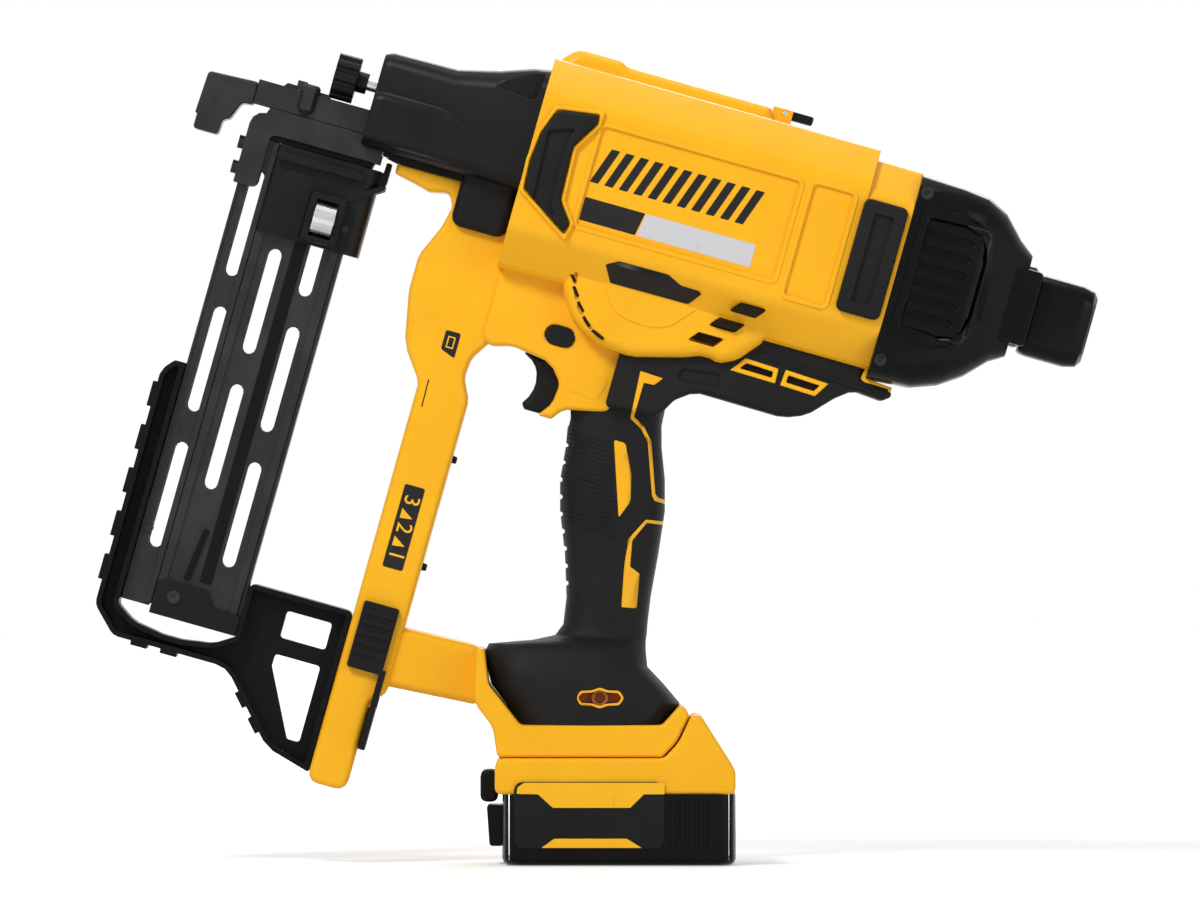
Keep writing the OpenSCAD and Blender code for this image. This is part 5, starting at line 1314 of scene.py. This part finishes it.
@dataclass
class NoseTrim:
    """Guides under the nose, and fittings of the trip arm and the pusher, in the drive frame."""

    guide: Outline = ((-123.6, -6.2), (-66.5, -6.2), (-66.5, -3.25), (-122.6, -3.25))
    guide_half: float = 12.6
    head: Outline = ((-118.6, -17.8), (-69.2, -17.8), (-68.2, -14.8), (-118.6, -14.8))
    head_half: float = 10.5
    heel: Outline = (
        (-65.8, -10.6), (-56.0, -12.6), (-23.0, -12.4), (-23.0, -8.2), (-65.8, -8.2))
    heel_y: Point = (-14.6, -19.2)
    bolt: Outline = (
        (1.6, -2.6), (2.6, -1.2), (4.2, 0.2), (4.2, 8.2), (4.6, 8.6), (4.6, 11.2), (3.6, 12.4))
    bolt_place: Point = (-106.5, -11.2)
    bolt_soft: float = 0.2
    leaf: Outline = ((-119.5, 8.2), (-96.5, 8.2), (-97.4, 10.0), (-117.8, 10.4))
    leaf_half: float = 9.5
    hook: Outline = (
        (-66.8, -29.4), (-61.2, -25.2), (-60.5, -22.4), (-60.5, -13.2), (-63.0, -13.2),
        (-63.2, -18.3), (-66.8, -18.3))
    hook_half: float = 9.0
    brace: Outline = (
        (-77.4, -36.6), (-74.6, -36.2), (-67.4, -30.8), (-60.6, -26.4), (-60.6, -23.8),
        (-68.2, -28.2), (-76.2, -34.2))
    brace_y: Point = (-8.6, -14.9)
    panel: Outline = oblong(-111.6, -58.6, -93.2, -28.4)
    panel_y: Point = (-13.3, -14.6)
    screw: Outline = disc(-73.6, -48.4, 1.9)
    screw_y: Point = (-12.5, -14.5)

    def build(self) -> None:
        """Makes the fixed guides first, then what moves."""
        Trim.across("arm_guide", self.guide, self.guide_half, SHEET, Slot.DARK_STEEL,
                    soft=0.3).build()
        Trim.across("magazine_head", self.head, self.head_half, SHADE_DARKENED_BLACK, Slot.BLACK,
                    soft=0.3).build()
        Trim("nose_heel", self.heel, *self.heel_y, SHADE_DARKENED_BLACK, Slot.BLACK, soft=0.4).build()
        self.trip()
        self.pusher()

    def trip(self) -> None:
        """Makes the pivot bolt of the trip arm and the leaf spring on its back."""
        bolt = Bench.turned("trip_bolt", self.bolt, self.bolt_place, self.bolt_soft)
        Bench.hand_over(bolt, "trip", SHEET, Slot.DARK_STEEL)
        Trim.across("trip_leaf", self.leaf, self.leaf_half, SHEET, Slot.DARK_STEEL, body="trip",
                    soft=0.25).build()

    def pusher(self) -> None:
        """Makes the hook, braces, panels and screws of the pusher."""
        Trim.across("pusher_hook", self.hook, self.hook_half, SHADE_DARKENED_BLACK, Slot.BLACK, body="pusher",
                    corner=0.5, soft=0.4).build()
        Trim("pusher_brace", self.brace, *self.brace_y, BLACK, Slot.BLACK, body="pusher",
             corner=0.4, soft=0.5).build()
        Trim("pusher_panel", self.panel, *self.panel_y, BLACK, Slot.BLACK, body="pusher",
             corner=1.2, soft=0.35).build()
        Trim("pusher_screw", self.screw, *self.screw_y, SHEET, Slot.DARK_STEEL, body="pusher",
             soft=0.4).build()


@dataclass
class BatteryMarks:
    """Bare two-colour label and button guard of the battery, in the standing frame."""

    face: float = -38.7
    film: float = 0.12
    upper: Outline = (
        (-36.8, 33.4), (-26.8, 33.2), (-19.9, 26.9), (16.2, 26.9), (22.6, 33.2), (32.2, 33.2),
        (32.2, 38.6), (-33.4, 38.6), (-36.4, 36.4))
    lower: Outline = ((-25.2, 8.2), (21.6, 8.2), (14.6, 12.5), (-19.3, 12.5))
    guard: Outline = ((-49.6, 8.4), (-43.2, 8.4), (-43.2, 27.6), (-51.0, 27.6))
    guard_half: float = 17.0

    def build(self) -> None:
        """Makes the bare yellow fields of the label on both sides, and the guard."""
        for name, points in (("label_field_upper", self.upper), ("label_field_lower", self.lower)):
            Trim.film(name, points, self.face, self.film, GOLD, body="battery",
                      stance=Stance.STANDING, corner=0.4).build()
        Trim.across("battery_guard", self.guard, self.guard_half, GLOSSY_SHADED_BLACK, Slot.BLACK,
                    body="battery", stance=Stance.STANDING, corner=1.4, soft=0.6).build()


@dataclass
class Studio:
    """Camera, lamps, floor and sky.

    Width, centre, front and sensor are millimetres, and the other lengths are metres.
    """

    width: float = 560.4
    centre: Point = (2.1, 194.0)
    front: float = 30.0
    distance: float = 6.0
    sensor: float = 36.0
    aim: Tuple[float, float, float] = (0, 0, 0.19)
    lamps: Tuple[Tuple[str, Tuple[float, float, float], float, float], ...] = (
        ("key", (-1.0, -1.7, 1.9), 0.6, 38.0),
        ("fill", (1.7, -1.7, 0.6), 1.0, 9.0),
        ("top", (0.3, 0.2, 2.2), 0.8, 9.0),
        ("back", (0.4, 1.9, 1.3), 1.0, 12.0),
    )
    floor_size: float = 14.0
    floor_z: float = -0.0004
    floor_colours: Tuple[Colour, Colour] = ((0.86, 0.86, 0.86), (0.9, 0.9, 0.9))
    floor_mottle: float = 0.09
    floor_glow: float = 0.3
    glow_reach: Point = (0.4, 1.3)
    sky_light: float = 0.32

    def build(self) -> None:
        """Sets up the whole studio."""
        bpy.context.scene.view_settings.view_transform = "Standard"
        self.camera()
        for name, place, size, power in self.lamps:
            self.lamp(name, place, size, power)
        self.floor()
        self.sky()

    def camera(self) -> None:
        """Places a long lens level with the tool's middle, as in the photograph."""
        data = bpy.data.cameras.new("camera")
        data.sensor_width = self.sensor
        data.lens = self.sensor * self.distance / (self.width * MM)
        data.clip_end = 100
        eye = bpy.data.objects.new("camera", data)
        eye.location = (self.centre[0] * MM, -self.distance - self.front * MM, self.centre[1] * MM)
        eye.rotation_euler = (math.radians(90), 0, 0)
        bpy.context.scene.collection.objects.link(eye)
        bpy.context.scene.camera = eye

    def lamp(self, name: str, place: Tuple[float, float, float], size: float,
             power: float) -> None:
        """Adds one square soft lamp that looks at the tool.

        Args:
            name: the lamp's name.
            place: where it hangs.
            size: its edge in metres.
            power: its power in watts.
        """
        data = bpy.data.lights.new(name, "AREA")
        data.size = size
        data.energy = power
        lamp = bpy.data.objects.new(name, data)
        lamp.location = place
        look = Vector(self.aim) - Vector(place)
        lamp.rotation_euler = look.to_track_quat("-Z", "Y").to_euler()
        bpy.context.scene.collection.objects.link(lamp)

    def floor(self) -> None:
        """Adds a pale floor that looks white and keeps the tool's shadow."""
        Bench.focus()
        bpy.ops.mesh.primitive_plane_add(size=self.floor_size, location=(0, 0, self.floor_z))
        plane = bpy.context.object
        plane.name = "studio_floor"
        s = Shader("studio_floor")
        away = s.node("ShaderNodeVectorMath", {"operation": "LENGTH"}, {0: s.places()})
        rise = s.out(away, "Value").ramp(*self.glow_reach)
        level = s.seen() * (self.floor_glow + (1 - self.floor_glow) * rise)
        s.dress({
            "Base Color": s.mix(s.noise(self.floor_mottle / MM), *self.floor_colours),
            "Roughness": 0.9,
            "Specular IOR Level": 0.1,
            "Emission Color": s.mix(level, (0, 0, 0), (1, 1, 1)),
            "Emission Strength": 1.0,
        })
        plane.data.materials.append(s.material)

    def sky(self) -> None:
        """Makes a plain sky that is white where the camera or a reflection sees it."""
        world = bpy.data.worlds.new("studio")
        world.use_nodes = True
        bpy.context.scene.world = world
        nodes = Nodes(world.node_tree)
        level = self.sky_light + (1 - self.sky_light) * nodes.seen()
        back = nodes.node("ShaderNodeBackground", {}, {"Color": (1, 1, 1, 1), "Strength": level})
        nodes.node("ShaderNodeOutputWorld", {}, {"Surface": nodes.out(back)})


def main() -> None:
    """Builds the sub-assemblies in order, then the studio."""
    logging.basicConfig(level=logging.INFO, format="%(name)s: %(message)s")
    for part in (Shells(), BarrelMarks(), StrutMarks(), HandleInlays(), CapForms(),
                 MagazineTrim(), NoseTrim(), BatteryMarks(), Studio()):
        LOG.info("building %s", type(part).__name__)
        part.build()
    Bench.clear_swollen()
    Bench.focus()
    LOG.info("%d pieces beside the CAD nodes", len(Bench.made))


if __name__ == "__main__":
    main()
